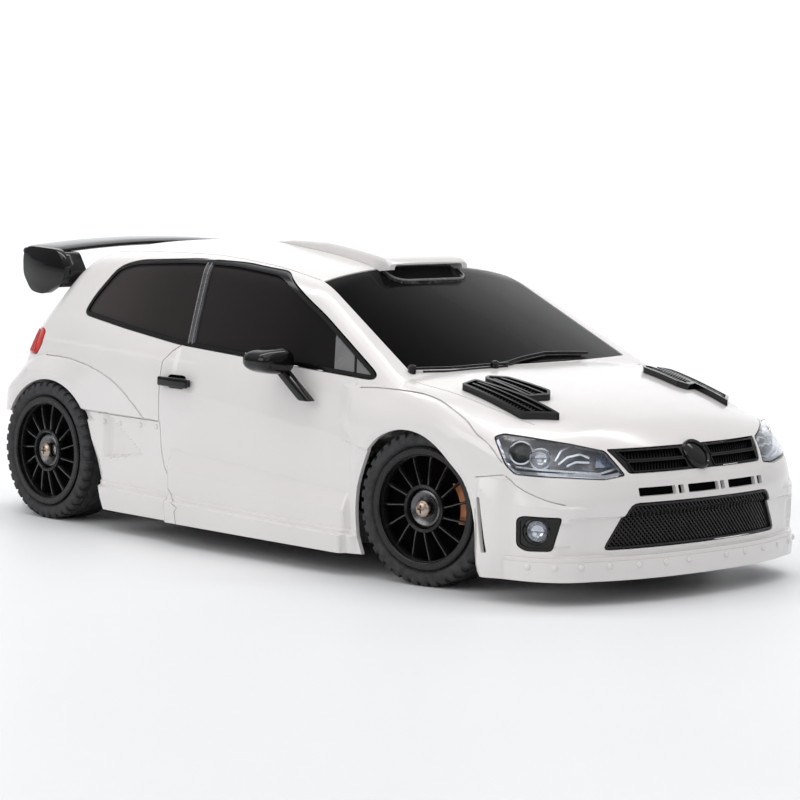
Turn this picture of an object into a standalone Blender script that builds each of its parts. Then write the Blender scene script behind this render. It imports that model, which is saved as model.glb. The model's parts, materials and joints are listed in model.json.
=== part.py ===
"""Remote control drift car with a rally hatchback shell, about 1:18.

Lengths below are millimetres and become metres when a mesh or an object is made.
Along the car, a station is measured forward from a datum 69 mm ahead of the rear axle.
The finished car stands on z = 0, centred in x and y, with its nose at +X and its left at +Y.
"""
import math

import bmesh
import bpy
import numpy as np
from mathutils import Matrix, Vector

MM = 0.001
GAP = 0.3                     # clearance between neighbouring pieces

# Driving dimensions
FRONT_END = 117.9             # station of the front lip
NOSE = 117.4                  # station of the bumper above it
REAR_END = -104.0             # station of the rear bumper
DATUM = -(FRONT_END + REAR_END) / 2
REAR_AXLE = -69.0
FRONT_AXLE = 68.3             # station of the kingpins
FRONT_ARCH = 70.0             # middle of the front wheel opening
REAR_ARCH = -68.8
TYRE_RADIUS = 17.6
TYRE_WIDTH = 13.0
FRONT_FACE = 43.5             # half of the track over the front tyres when they point ahead
REAR_FACE = 45.0
RIM_LIP = 13.95
SILL = 5.3                    # height of the shell's lower edge
FRONT_FLARE = 46.2            # half width over the front wheel arches
REAR_FLARE = 44.9
SKIN = 1.0                    # thickness of the shell
KINGPIN = 31.5                # half the distance between the kingpins
STEER = math.radians(10)      # the front wheels stand turned to the left
SPOKES = 15
LINK_ARM = 6.0                # from each kingpin to its pin in the steering link
LINK_STATION = FRONT_AXLE - LINK_ARM
HORN_STATION = LINK_STATION - LINK_ARM
MOTOR_STATION = -58.4
MOTOR_HEIGHT = 15.2
SPUR_TEETH = 40
PINION_TEETH = 10
SIDES = {"left": 1, "right": -1}


# Scene and materials

def fresh_collection(name):
    collection = bpy.data.collections.new(name)
    bpy.context.scene.collection.children.link(collection)
    return collection


for old in list(bpy.data.objects):
    bpy.data.objects.remove(old, do_unlink=True)
PARTS = fresh_collection("rc_drift_car")
TOOLS = fresh_collection("cutters")


def material(name, colour, roughness, metallic=0.0):
    made = bpy.data.materials.new(name)
    made.use_nodes = True
    shader = made.node_tree.nodes["Principled BSDF"]
    shader.inputs["Base Color"].default_value = (*colour, 1)
    shader.inputs["Roughness"].default_value = roughness
    shader.inputs["Metallic"].default_value = metallic
    return made


LOOKS = {
    "white": ((0.86, 0.87, 0.88), 0.18, 0.0),
    "glass": ((0.02, 0.018, 0.018), 0.06, 0.0),
    "lens": ((0.6, 0.62, 0.64), 0.08, 0.0),
    "red": ((0.6, 0.02, 0.01), 0.15, 0.0),
    "gloss_black": ((0.012, 0.012, 0.013), 0.15, 0.0),
    "black": ((0.02, 0.02, 0.022), 0.45, 0.0),
    "rubber": ((0.035, 0.035, 0.037), 0.8, 0.0),
    "foam": ((0.03, 0.03, 0.03), 0.95, 0.0),
    "steel": ((0.6, 0.6, 0.6), 0.3, 1.0),
    "aluminium": ((0.75, 0.76, 0.78), 0.35, 1.0),
    "brass": ((0.7, 0.42, 0.18), 0.35, 1.0),
    "blue_wrap": ((0.02, 0.08, 0.35), 0.4, 0.0),
    "board": ((0.01, 0.12, 0.05), 0.5, 0.0),
    "fibre": ((0.55, 0.5, 0.3), 0.5, 0.0),
}


# Helpers that make one object each

def spot(x, y, z):
    """World place in metres of a point given by station, y and height."""
    return Vector((x + DATUM, y, z)) * MM


def finish(name, mesh, look, where, frame=None, turn=None):
    """Link a mesh as an object: a part when it has a look, and otherwise a cutter."""
    made = bpy.data.objects.new(name, mesh)
    made.parent = frame
    made.location = Vector(where) * MM if frame else spot(*where)
    if turn:
        made.rotation_euler = turn
    if look:
        PARTS.objects.link(made)
        mesh.materials.append(material(name, *LOOKS[look]))
    else:
        TOOLS.objects.link(made)
        made.hide_render = True
        made.display_type = "WIRE"
    return made


def box(name, size, where, look=None, bevel=0.0, frame=None, turn=None):
    shape = bmesh.new()
    bmesh.ops.create_cube(shape, size=MM)
    bmesh.ops.scale(shape, vec=size, verts=shape.verts)
    mesh = bpy.data.meshes.new(name)
    shape.to_mesh(mesh)
    made = finish(name, mesh, look, where, frame, turn)
    if bevel:
        edge = made.modifiers.new("edge", "BEVEL")
        edge.width = bevel * MM
    return made


AXIS_TURN = {
    "X": (0, math.pi / 2, 0),
    "Y": (-math.pi / 2, 0, 0),
    "Z": (0, 0, 0),
}


def rod(name, radius, length, where, axis="Z", look=None, segments=20, frame=None):
    shape = bmesh.new()
    bmesh.ops.create_cone(shape, cap_ends=True, segments=segments, depth=length * MM,
                          radius1=radius * MM, radius2=radius * MM)
    mesh = bpy.data.meshes.new(name)
    shape.to_mesh(mesh)
    return finish(name, mesh, look, where, frame, AXIS_TURN[axis])


def turned(name, profile, where, axis="Z", look=None, segments=24, frame=None, closed=True):
    """Turn a profile of (radius, height) points, given down its outer side."""
    mesh = bpy.data.meshes.new(name)
    count = len(profile)
    edges = [(i, i + 1) for i in range(count - 1)]
    if closed:
        edges.append((count - 1, 0))
    mesh.from_pydata([(r * MM, 0, z * MM) for r, z in profile], edges, [])
    made = finish(name, mesh, look, where, frame, AXIS_TURN[axis])
    screw = made.modifiers.new("turn", "SCREW")
    screw.steps = segments
    screw.render_steps = segments
    screw.use_merge_vertices = True
    screw.merge_threshold = 0.00001
    return made


# Each plane maps an outline's first and second numbers, and its thickness, to world directions.
PLANES = {
    "side": Matrix(((1, 0, 0), (0, 0, -1), (0, 1, 0))),
    "front": Matrix(((0, 0, 1), (1, 0, 0), (0, 1, 0))),
    "top": Matrix.Identity(3),
}


def corner_plane(side, forward):
    """A vertical plane that faces a corner of the car at 45 degrees."""
    out = Vector((forward, side, 0)).normalized()
    up = Vector((0, 0, 1))
    return Matrix((up.cross(out), up, out)).transposed()


def plate(name, outlines, low, high, plane="top", look=None, frame=None):
    """A flat piece with one or more outlines, from low to high across its plane."""
    curve = bpy.data.curves.new(name, "CURVE")
    curve.dimensions = "2D"
    curve.fill_mode = "BOTH"
    curve.extrude = (high - low) / 2 * MM
    for outline in outlines:
        spline = curve.splines.new("POLY")
        spline.points.add(len(outline) - 1)
        spline.use_cyclic_u = True
        for knot, (a, b) in zip(spline.points, outline):
            knot.co = (a * MM, b * MM, 0, 1)
    basis = PLANES[plane] if isinstance(plane, str) else plane
    where = basis @ Vector((0, 0, (low + high) / 2))
    guide = finish(name + "_guide", curve, None, where, frame)
    guide.rotation_euler = basis.to_euler()
    bpy.context.view_layer.update()
    mesh = bpy.data.meshes.new_from_object(guide.evaluated_get(bpy.context.evaluated_depsgraph_get()))
    shape = bmesh.new()
    shape.from_mesh(mesh)
    bmesh.ops.remove_doubles(shape, verts=shape.verts, dist=0.000001)
    bmesh.ops.recalc_face_normals(shape, faces=shape.faces)
    shape.to_mesh(mesh)
    made = finish(name, mesh, look, where, frame, guide.rotation_euler)
    bpy.data.objects.remove(guide)
    return made


def combine(target, operation, *tools):
    """Boolean steps; the wide, thin skin needs the MANIFOLD solver."""
    for tool in tools:
        step = target.modifiers.new(operation.lower(), "BOOLEAN")
        step.operation = operation
        step.solver = "MANIFOLD" if "thickness" in target.modifiers else "EXACT"
        step.object = tool
    return target


def unite(target, *tools):
    return combine(target, "UNION", *tools)


def cut(target, *tools):
    return combine(target, "DIFFERENCE", *tools)


def arc(centre, radius, start, end, steps):
    """Points of an arc, in degrees; radius is one number or one for each direction."""
    wide, tall = radius if isinstance(radius, tuple) else (radius, radius)
    angles = np.radians(np.linspace(start, end, steps))
    return [(centre[0] + wide * math.cos(a), centre[1] + tall * math.sin(a)) for a in angles]


def inset(outline, distance):
    """Move each side of a convex, anticlockwise outline inwards."""
    points = [Vector(p) for p in outline]
    moved = []
    for before, here, after in zip(points[-1:] + points[:-1], points, points[1:] + points[:1]):
        first = (here - before).normalized()
        second = (after - here).normalized()
        inward = Vector((-first.y - second.y, first.x + second.x))
        moved.append(tuple(here + inward * distance / (1 + first.dot(second))))
    return moved


# The shell's outer surface

def blend_low(a, b, reach):
    """The lower of two fields, rounded where they cross."""
    mix = np.clip(0.5 + 0.5 * (b - a) / reach, 0, 1)
    return b + (a - b) * mix - reach * mix * (1 - mix)


def fair(at, knots):
    """A smooth line through (position, value) knots that doesn't overshoot them."""
    place = np.array([k[0] for k in knots], float)
    value = np.array([k[1] for k in knots], float)
    rise = np.diff(value) / np.diff(place)
    slope = np.zeros(len(place))
    turning = rise[:-1] * rise[1:] > 0
    slope[1:-1] = np.where(turning, 2 * rise[:-1] * rise[1:] / (rise[:-1] + rise[1:] + 1e-12), 0)
    slope[0] = rise[0]
    slope[-1] = rise[-1]
    at = np.clip(at, place[0], place[-1])
    i = np.clip(np.searchsorted(place, at, side="right") - 1, 0, len(place) - 2)
    span = place[i + 1] - place[i]
    t = (at - place[i]) / span
    return ((1 + 2 * t) * (1 - t) ** 2 * value[i] + t * (1 - t) ** 2 * span * slope[i]
            + t * t * (3 - 2 * t) * value[i + 1] + t * t * (t - 1) * span * slope[i + 1])


def top_height(x, y):
    """Height of the bonnet, windscreen and roof over a point in plan."""
    u = np.clip((x - 60) / 54, -0.3, 1.25)
    bonnet = 48.0 - 4.5 * u - 10.3 * np.abs(u) ** 3.2 * np.sign(u)
    crown = fair(x, [(45, 2.2), (60, 2.5), (72, 3.2), (92, 5.7), (116, 6.5)])
    bonnet = bonnet - crown * np.abs(y / 40) ** 2.6
    screen = 47.6 + 0.5 * (62.8 - 0.0038 * y * y - x)
    roof = fair(x, [(-100, 64.5), (-76, 69.2), (-60, 71.4), (-40, 72.6), (-20, 73), (0, 71.9), (22, 68.9),
                    (40, 65.5)])
    roof = roof - 3.2 * np.abs(y / 30) ** 2.4
    return np.maximum(bonnet, blend_low(screen, roof, 1.2))


def half_width(x, z):
    """Half width of the sides, with flared arches and windows that lean in."""
    waist = fair(x, [(-110, 40.5), (-90, 41.3), (-69, 42.4), (-50, 44.2), (-36, 45.2), (0, 45.4), (60, 45),
                     (92, 44.6), (104, 42), (118, 38)])
    door = waist + 0.4 - 0.0022 * (z - 24) ** 2
    door = door + 1.2 / (1 + np.exp((z - 10.3) / 0.35))
    for arch, flare in ((FRONT_ARCH, FRONT_FLARE), (REAR_ARCH, REAR_FLARE)):
        swell = np.clip((29 - np.hypot(x - arch, z - TYRE_RADIUS)) / 7, 0, 1)
        swell = swell * swell * (3 - 2 * swell)
        door = door * (1 - swell) + flare * swell
    belt = fair(x, [(-100, 51.5), (-63, 51.3), (-40, 49.8), (-15, 47.8), (20, 46.2), (50, 44.6), (60, 44.4)])
    window = waist - 1.9 - 0.43 * (z - belt) - 0.0016 * (z - belt) ** 2
    return blend_low(door, window, 1.5)


def nose(y, z):
    line = fair(z, [(0, 117), (12, 117.2), (22, NOSE), (28.4, 115.6), (33.6, 112.9), (40, 108)])
    return line - 5.0 * (y / 40) ** 2 - 4.6 * (y / 40) ** 4


def tail(y, z):
    line = fair(z, [(0, -99), (12, -103), (24, REAR_END), (32, -103.4), (37, -98), (42, -95),
                    (48, -91), (54, -85.6), (60, -79.8), (66, -73.5), (71, -67.5), (76, -61)])
    return line + 5.5 * (y / 40) ** 2 + 6.0 * (y / 40) ** 4


def depth_inside(x, y, z):
    sides = half_width(x, z) - np.abs(y)
    body = blend_low(sides, (top_height(x, y) - z) * 0.93, 3)
    body = blend_low(body, nose(y, z) - x, 4)
    return blend_low(body, x - tail(y, z), 5)


def outermost(origins, directions):
    """Where rays from inside the car leave it, by halving."""
    near = np.zeros(len(origins))
    far = np.full(len(origins), 160.0)
    for _ in range(36):
        middle = (near + far) / 2
        x, y, z = (origins + directions * middle[:, None]).T
        within = depth_inside(x, y, z) > 0
        near = np.where(within, middle, near)
        far = np.where(within, far, middle)
    return origins + directions * near[:, None]


def shell_rib(station, heading):
    """Points from the sill up to the centre line, seen from a station towards a heading in plan.

    One row follows the shoulder, where the side turns into the bonnet, windscreen or roof.
    """
    eye = 25.0
    low_rows, side_rows, top_rows = 5, 6, 5
    out = np.array([-math.cos(heading), -math.sin(heading), 0])
    shoulder = fair(station, [(-78, 48), (-60, 54), (20, 54), (40, 43), (58, 28), (70, 23), (96, 18)])
    lifts = list(np.linspace(0, shoulder, side_rows, endpoint=False))
    lifts += list(np.linspace(shoulder, 90, top_rows))
    heights = np.linspace(SILL, eye, low_rows, endpoint=False)
    starts = [(station, 0, z) for z in heights]
    ways = [out] * low_rows
    for lift in np.radians(lifts):
        starts.append((station, 0, eye))
        ways.append(out * math.cos(lift) + np.array([0, 0, math.sin(lift)]))
    return outermost(np.array(starts, float), np.array(ways))


def shell_surface():
    """The right half of the outer surface as a loft of ribs, open at the centre and below."""
    rear, front = -78.0, 96.0
    ribs = [shell_rib(rear, a) for a in np.linspace(0, math.pi / 2, 4, endpoint=False)]
    ribs += [shell_rib(x, math.pi / 2) for x in np.linspace(rear, front, 19, endpoint=False)]
    ribs += [shell_rib(front, a) for a in np.linspace(math.pi / 2, math.pi, 5)]
    grid = np.array(ribs)
    grid[:, -1, 1] = 0
    grid[[0, -1], :, 1] = 0
    shape = bmesh.new()
    verts = [[shape.verts.new(Vector(p) * MM) for p in rib] for rib in grid]
    for left, right in zip(verts, verts[1:]):
        for j in range(len(left) - 1):
            shape.faces.new((left[j], right[j], right[j + 1], left[j + 1]))
    bmesh.ops.remove_doubles(shape, verts=shape.verts, dist=0.000005)
    mesh = bpy.data.meshes.new("shell_surface")
    shape.to_mesh(mesh)
    return mesh


SURFACE = shell_surface()


def skin(name, low, high, look=None):
    """The shell's surface made solid from low to high, measured outwards."""
    mesh = SURFACE.copy()
    made = finish(name, mesh, look, (0, 0, 0))
    mirror = made.modifiers.new("both_sides", "MIRROR")
    mirror.use_axis = (False, True, False)
    mirror.merge_threshold = 0.00001
    solid = made.modifiers.new("thickness", "SOLIDIFY")
    solid.thickness = (high - low) * MM
    solid.offset = (high + low) / (high - low)
    return made


def panel(name, outline, low, high, plane, look, layer=(-SKIN, 0.0)):
    """A piece of the skin inside an outline, with a gap all round."""
    piece = skin(name, *layer, look)
    return combine(piece, "INTERSECT", plate(name + "_outline", [inset(outline, GAP)], low, high, plane))


# Outlines, anticlockwise in their plane's two directions

FRONT_OPENING = [(93.4, 0), (92.3, 5), (90.7, 8), (90, 15), (89.2, 19), (86.2, 25.5), (81.4, 29.5), (76, 33.2),
                 (72.2, 34.7), (68.5, 35.3), (64.9, 35.2), (61.2, 34.3), (57.5, 32.5), (54.8, 30.1),
                 (52.4, 25), (51, 20.8), (50.5, 15), (51, 9.5), (52.6, 5), (54, 0)]
REAR_OPENING = [(-41, 0)] + arc((REAR_ARCH, TYRE_RADIUS), (18.8, 18.4), 34, 180, 13) + [(REAR_ARCH - 19.2, 0)]
SIDE_GLASS = [(-59.2, 53.2), (-17, 48.4), (20, 46.6), (53, 45.1), (54.2, 46.6), (30.5, 58.7), (10, 67.6),
              (-6, 69), (-22, 69.2), (-44, 67.8), (-50.8, 66), (-57.2, 58)]
HEADLIGHT = [(34.4, 35.9), (37.9, 29.9), (58, 27.7), (60.6, 29), (58, 34.2), (46.5, 36)]
TAIL_LIGHT = [(-99, 41), (-77.5, 41.6), (-75.2, 44.6), (-74.2, 48), (-76.5, 48.9), (-97, 48.9)]
REAR_WINDOW = [(-29, 54), (29, 54), (24.5, 65.5), (-24.5, 65.5)]
UPPER_GRILLE = [(-21.9, 28.4), (21.9, 28.4), (24.7, 33.6), (-24.7, 33.6)]
LOWER_GRILLE = [(-28.9, 11.9), (28.9, 11.9), (22.6, 22.2), (-22.6, 22.2)]
FOG_LAMP = [(40.3, 13), (42.3, 11.9), (48.2, 12.1), (50.3, 19.6), (41.5, 19.7), (40.2, 18.9)]


def windscreen_outline():
    lower = [(62.3 - 0.0038 * y * y, y) for y in np.linspace(-36.2, 36.2, 8)]
    return lower + [(21.4, 30.3), (20.6, 13), (20.6, -13), (21.4, -30.3)]


def swap(outline):
    """The same outline on the other side of the car, still anticlockwise."""
    return [(-a, b) for a, b in reversed(outline)]


# The shell and what is fixed to it

def body_shell():
    shell = skin("body_shell", -SKIN, 0, "white")
    openings = [
        plate("front_arches", [FRONT_OPENING], -60, 60, "side"),
        plate("rear_arches", [REAR_OPENING], -60, 60, "side"),
        plate("side_windows", [SIDE_GLASS], -60, 60, "side"),
        plate("rear_window_opening", [REAR_WINDOW], -110, -70, "front"),
        plate("upper_grille_opening", [UPPER_GRILLE], 90, 130, "front"),
        plate("lower_grille_opening", [LOWER_GRILLE], 90, 130, "front"),
        plate("windscreen_opening", [windscreen_outline()], 40, 90, "top"),
        box("lip_opening", (40, 120, 8), (118.2, 0, 6.6)),
    ]
    for name, side in SIDES.items():
        fog = FOG_LAMP if side < 0 else swap(FOG_LAMP)
        lamp = HEADLIGHT if side < 0 else swap(HEADLIGHT)
        openings.append(plate("headlight_opening_" + name, [lamp], 88, 108, corner_plane(side, 1)))
        openings.append(plate("fog_opening_" + name, [fog], 88, 125, corner_plane(side, 1)))
    openings.append(plate("tail_openings", [TAIL_LIGHT], -60, -26, "side"))
    openings.append(plate("tail_openings_left", [TAIL_LIGHT], 26, 60, "side"))
    return cut(shell, *openings)


def glazing():
    panel("windshield", windscreen_outline(), 40, 90, "top", "glass")
    panel("rear_window", REAR_WINDOW, -110, -70, "front", "glass")
    for name, side in SIDES.items():
        low, high = sorted((-side * 20, -side * 60))
        panel("side_window_" + name, SIDE_GLASS, low, high, "side", "glass")


def lamps():
    for name, side in SIDES.items():
        lamp = HEADLIGHT if side < 0 else swap(HEADLIGHT)
        panel("headlight_" + name, lamp, 88, 108, corner_plane(side, 1), "lens")
        low, high = sorted((-side * 26, -side * 60))
        panel("tail_light_" + name, TAIL_LIGHT, low, high, "side", "red")
        fog = FOG_LAMP if side < 0 else swap(FOG_LAMP)
        panel("fog_lamp_" + name, fog, 88, 125, corner_plane(side, 1), "gloss_black", (-2.5, 0))


def grilles():
    panel("upper_grille", UPPER_GRILLE, 90, 130, "front", "black", (-1.6, 0))
    panel("lower_grille", LOWER_GRILLE, 90, 130, "front", "foam", (-1.6, -0.4))


def front_lip():
    lip = skin("front_lip", -0.9, 0.7, "white")
    return combine(lip, "INTERSECT", box("lip_band", (40, 120, 4.8), (118.6, 0, SILL + 2.5)))


def raised(name, outline, height, look):
    """A piece that stands on the skin, a gap above it."""
    piece = skin(name, -0.2, height, look)
    combine(piece, "INTERSECT", plate(name + "_outline", [outline], 30, 90, "top"))
    return cut(piece, skin(name + "_seat", -SKIN - 0.5, GAP))


def vents_and_scoop():
    for name, side in SIDES.items():
        outer = [(73.5, 35.4), (93, 35.1), (98.5, 27.6), (90.4, 22.9), (88.3, 20.8), (76, 22.4), (72.5, 25.8)]
        near = [(a, side * b) for a, b in outer]
        raised("hood_vent_" + name, near if side < 0 else near[::-1], 1.5, "black")
    profile = [(-22, 72), (0, 70.7), (14, 69), (24.4, 66.4), (24.8, 68.2), (25.8, 70.8),
               (12, 72.9), (0, 74), (-10, 74.2), (-22, 73.8)]
    scoop = plate("roof_scoop", [profile], -13, 13, "side", "white")
    mouth = box("scoop_mouth", (16, 21, 3), (22, 0, 67.4))
    cut(scoop, skin("scoop_seat", -SKIN - 1.2, GAP), mouth)


def rear_wing():
    """A blade behind the roof between two end plates, each with a foot on the rear pillar."""
    crown = [(y, 71.2 - 0.00153 * y * y) for y in np.linspace(36.4, -36.4, 13)]
    blade = [(y, z - 1.9) for y, z in reversed(crown)] + crown
    wing = plate("rear_wing", [blade], -90.5, -77, "front", "gloss_black")
    end = [(-85, 57.6), (-79.5, 57), (-70.5, 61.5), (-71, 66), (-74, 69), (-86, 69.4), (-88.5, 67.5),
           (-88.5, 62)]
    foot = [(-85, 59), (-74, 59), (-70, 63), (-73.5, 68.2), (-83, 68.2)]
    for side in (-1, 1):
        middle = 37 * side
        unite(wing, plate("wing_end_" + str(side), [end], middle - 1.1, middle + 1.1, "side"))
        low, high = sorted((31 * side, 36.5 * side))
        unite(wing, plate("wing_foot_" + str(side), [foot], low, high, "side"))
    return cut(wing, skin("wing_seat", -SKIN - 2, GAP))


def door_mirrors():
    for name, side in SIDES.items():
        head = box("mirror_" + name, (9, 10.5, 6.2), (25, side * 50.4, 48), "gloss_black", 1.6)
        arm = [(27, 45.5), (23.5, 45.5), (33, 39), (37, 39)]
        stem = plate("mirror_stem_" + name, [arm], side * -46.9 - 1.1, side * -46.9 + 1.1, "side")
        unite(head, stem)
        cut(head, skin("mirror_seat_" + name, -SKIN - 2, GAP))


def door_handles():
    for name, side in SIDES.items():
        box("door_handle_" + name, (11.5, 1.5, 2.6), (-14.8, side * 46.6, 39.6), "gloss_black", 0.4)


# The chassis

def chassis_tub():
    """Floor, side rails, lower arms with kingpin bosses, and the tower that carries the top plate."""
    half = [(-44, 12), (-38, 24), (48, 24), (58, 13), (86, 13)]
    outline = [(x, -y) for x, y in half] + [(x, y) for x, y in reversed(half)]
    tub = plate("chassis_tub", [outline], 3.6, 5.2, "top", "black")
    unite(tub, box("tower", (8, 24, 21.5), (70.8, 0, 14.3)))
    for name, side in SIDES.items():
        unite(tub, box("rail_" + name, (84, 1.6, 7.4), (5, side * 23, 7.3)))
        unite(tub, box("arm_" + name, (5, 22.4, 1.8), (FRONT_AXLE, side * 21.2, 9.1)))
        unite(tub, box("arm_web_" + name, (5, 4, 6), (FRONT_AXLE, side * 11, 7)))
        unite(tub, rod("boss_" + name, 2.5, 4.4, (FRONT_AXLE, side * KINGPIN, 10.4), segments=16))
    for name, side in SIDES.items():
        cut(tub, rod("boss_hole_" + name, 0.8 + GAP, 8, (FRONT_AXLE, side * KINGPIN, 10.4), segments=16))
    return tub


def front_suspension():
    bar = [(-4.5, -12), (-2, -34.5), (2, -34.5), (4.5, -12), (4.5, 12), (2, 34.5), (-2, 34.5), (-4.5, 12)]
    outline = [(FRONT_AXLE + a, b) for a, b in bar]
    top = plate("suspension_plate", [outline], 25.4, 26.8, "top", "black")
    for name, side in SIDES.items():
        where = (FRONT_AXLE, side * KINGPIN)
        cut(top, rod("plate_hole_" + name, 0.8 + GAP, 8, (*where, 26), segments=16))
        pin = [(0, 28.1), (1.6, 28.1), (1.6, 27.1), (0.8, 27.1), (0.8, 8.4), (0, 8.4)]
        turned("kingpin_" + name, pin, (*where, 0), "Z", "steel", 16, closed=False)
        bush = [(1.1, 20.5), (2.6, 20.5), (2.6, 20), (1.9, 20), (1.9, 12.9), (1.1, 12.9)]
        turned("kingpin_bush_" + name, bush, (*where, 0), "Z", "brass", 16)
        spring("kingpin_spring_" + name, where, 20.85, 25.05)


def spring(name, where, low, high):
    """A coil from low to high around a kingpin."""
    turns, steps, radius, wire = 4, 10, 1.75, 0.3
    curve = bpy.data.curves.new(name, "CURVE")
    curve.dimensions = "3D"
    curve.bevel_depth = wire * MM
    curve.bevel_resolution = 1
    curve.use_fill_caps = True
    spline = curve.splines.new("POLY")
    count = turns * steps + 1
    spline.points.add(count - 1)
    for i, knot in enumerate(spline.points):
        angle = 2 * math.pi * i / steps
        z = low + wire + (high - low - 2 * wire) * i / (count - 1)
        knot.co = (radius * math.cos(angle) * MM, radius * math.sin(angle) * MM, z * MM, 1)
    return finish(name, curve, "steel", (*where, 0))


def steering_frame(name, side):
    """An empty on the kingpin that carries the steered pieces."""
    frame = bpy.data.objects.new("steering_axis_" + name, None)
    frame.location = spot(FRONT_AXLE, side * KINGPIN, 0)
    frame.rotation_euler = (0, 0, STEER)
    PARTS.objects.link(frame)
    return frame


def knuckle(name, side, frame):
    """Hub on the bush, stub axle outwards, and an arm back to the link with its pin."""
    hub = rod("knuckle_" + name, 3.5, 6.4, (0, 0, 16.5), "Z", "aluminium", 20, frame)
    unite(hub, rod("stub_" + name, 1.0, 8, (0, side * 6.2, TYRE_RADIUS), "Y", None, 14, frame))
    unite(hub, box("knuckle_arm_" + name, (6.8, 2.6, 1.6), (-5, 0, 15), frame=frame))
    unite(hub, rod("knuckle_pin_" + name, 0.6, 4.8, (-LINK_ARM, 0, 12.6), "Z", None, 12, frame))
    return cut(hub, rod("knuckle_bore_" + name, 1.9 + GAP, 10, (0, 0, 16.5), "Z", None, 20, frame))


def steering_link():
    """A flat bar with a long hole for each knuckle pin and for the horn's pin."""
    middle = LINK_ARM * math.sin(STEER)
    half = KINGPIN + 1.8
    bar = [(-2.2, -half), (2.2, -half), (2.2, half), (-2.2, half)]
    outline = [(LINK_STATION + a, b - middle) for a, b in bar]
    link = plate("steering_link", [outline], 11.4, 12.7, "top", "black")
    for i, y in enumerate((-KINGPIN, 0, KINGPIN)):
        cut(link, box("link_hole_" + str(i), (2.9, 1.9, 4), (LINK_STATION + 0.25, y - middle, 12)))
    return link


def steering_gear():
    """Servo, and its horn, whose pin turns in the link's middle hole."""
    box("steering_servo", (24, 12.4, 11), (46.7, 0, 11.1), "black", 0.5)
    frame = bpy.data.objects.new("horn_axis", None)
    frame.location = spot(HORN_STATION, 0, 0)
    frame.rotation_euler = (0, 0, -STEER)
    PARTS.objects.link(frame)
    horn = rod("servo_horn", 2.6, 1.8, (0, 0, 17.9), "Z", "black", 20, frame)
    unite(horn, box("horn_arm", (LINK_ARM, 2, 1.8), (LINK_ARM / 2, 0, 17.9), frame=frame))
    unite(horn, rod("horn_pin", 0.6, 8, (LINK_ARM, 0, 14.6), "Z", None, 12, frame))


def electrics():
    box("battery_pack", (50, 29, 14), (-4, 0, 12.6), "blue_wrap", 2.5)
    board = box("control_board", (30, 22, 3.2), (2, 0, 21.6), "board", 0.3)
    cut(board, box("switch_slot", (6.6, 3.2, 4), (-8, 6, 22.6)))
    box("power_switch", (2.6, 2.4, 2.6), (-9, 6, 22.3), "black", 0.3)


def mounts():
    nose_plate = [(80, -13), (90, -16), (90, 16), (80, 13)]
    front = plate("front_body_mount", [nose_plate], 5.6, 7.2, "top", "black")
    unite(front, box("front_tower", (4, 20, 12), (87, 0, 12)))
    beam = box("rear_body_mount", (5, 87.6, 3), (-34, 0, 27), "black")
    for name, side in SIDES.items():
        unite(beam, box("mount_leg_" + name, (5, 1.6, 16), (-34, side * 23, 19.4)))
    bumper = [(91, -24), (104, -18), (107, 0), (104, 18), (91, 24)]
    plate("foam_bumper", [bumper], 7.5, 17, "top", "foam")


# The rear axle

def t_plate():
    """The springy plate between the tub and the rear pod."""
    outline = [(-60, -8), (-50, -8), (-50, -4), (-45, -4), (-45, -8), (-41, -8),
               (-41, 8), (-45, 8), (-45, 4), (-50, 4), (-50, 8), (-60, 8)]
    return plate("t_plate", [outline], 5.5, 6.3, "top", "fibre")


def rear_pod():
    """Floor and two cheeks that hold the motor and carry the axle."""
    pod = box("rear_pod", (28, 35, 1.4), (-68, 0, 8), "black")
    cheek = [(-82, 7.5), (-50, 7.5), (-50, 16), (-54, 22), (-66, 24), (-76, 24), (-82, 14)]
    for side in (-1, 1):
        middle = 16.5 * side
        unite(pod, plate("cheek_" + str(side), [cheek], middle - 1, middle + 1, "side"))
    cut(pod, rod("axle_bore", 1.5 + GAP, 60, (REAR_AXLE, 0, TYRE_RADIUS), "Y"))
    cut(pod, rod("shaft_bore", 1.0 + GAP, 60, (MOTOR_STATION, 0, MOTOR_HEIGHT), "Y"))
    return pod


def motor():
    can = [(0, 14.8), (1, 14.8), (1, 13.2), (5.5, 13.2), (6.2, 12.4), (6.2, -13.2), (0, -13.2)]
    return turned("motor", can, (MOTOR_STATION, 0, MOTOR_HEIGHT), "Y", "steel", 24, closed=False)


def gear(name, teeth, pitch, addendum, dedendum, width, where, bore, look, phase):
    """A spur gear with straight-sided teeth, thinned a little for backlash."""
    points = []
    step = 2 * math.pi / teeth
    for i in range(teeth):
        for share, radius in ((-0.30, pitch - dedendum), (-0.13, pitch + addendum),
                              (0.13, pitch + addendum), (0.30, pitch - dedendum)):
            angle = step * (i + share + phase)
            points.append((radius * math.cos(angle), radius * math.sin(angle)))
    hole = arc((0, 0), bore, 0, 360 * 15 / 16, 16)
    x, y, z = where
    moved = [[(x + a, z + b) for a, b in loop] for loop in (points, hole)]
    return plate(name, moved, -y - width / 2, -y + width / 2, "side", look)


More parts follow.
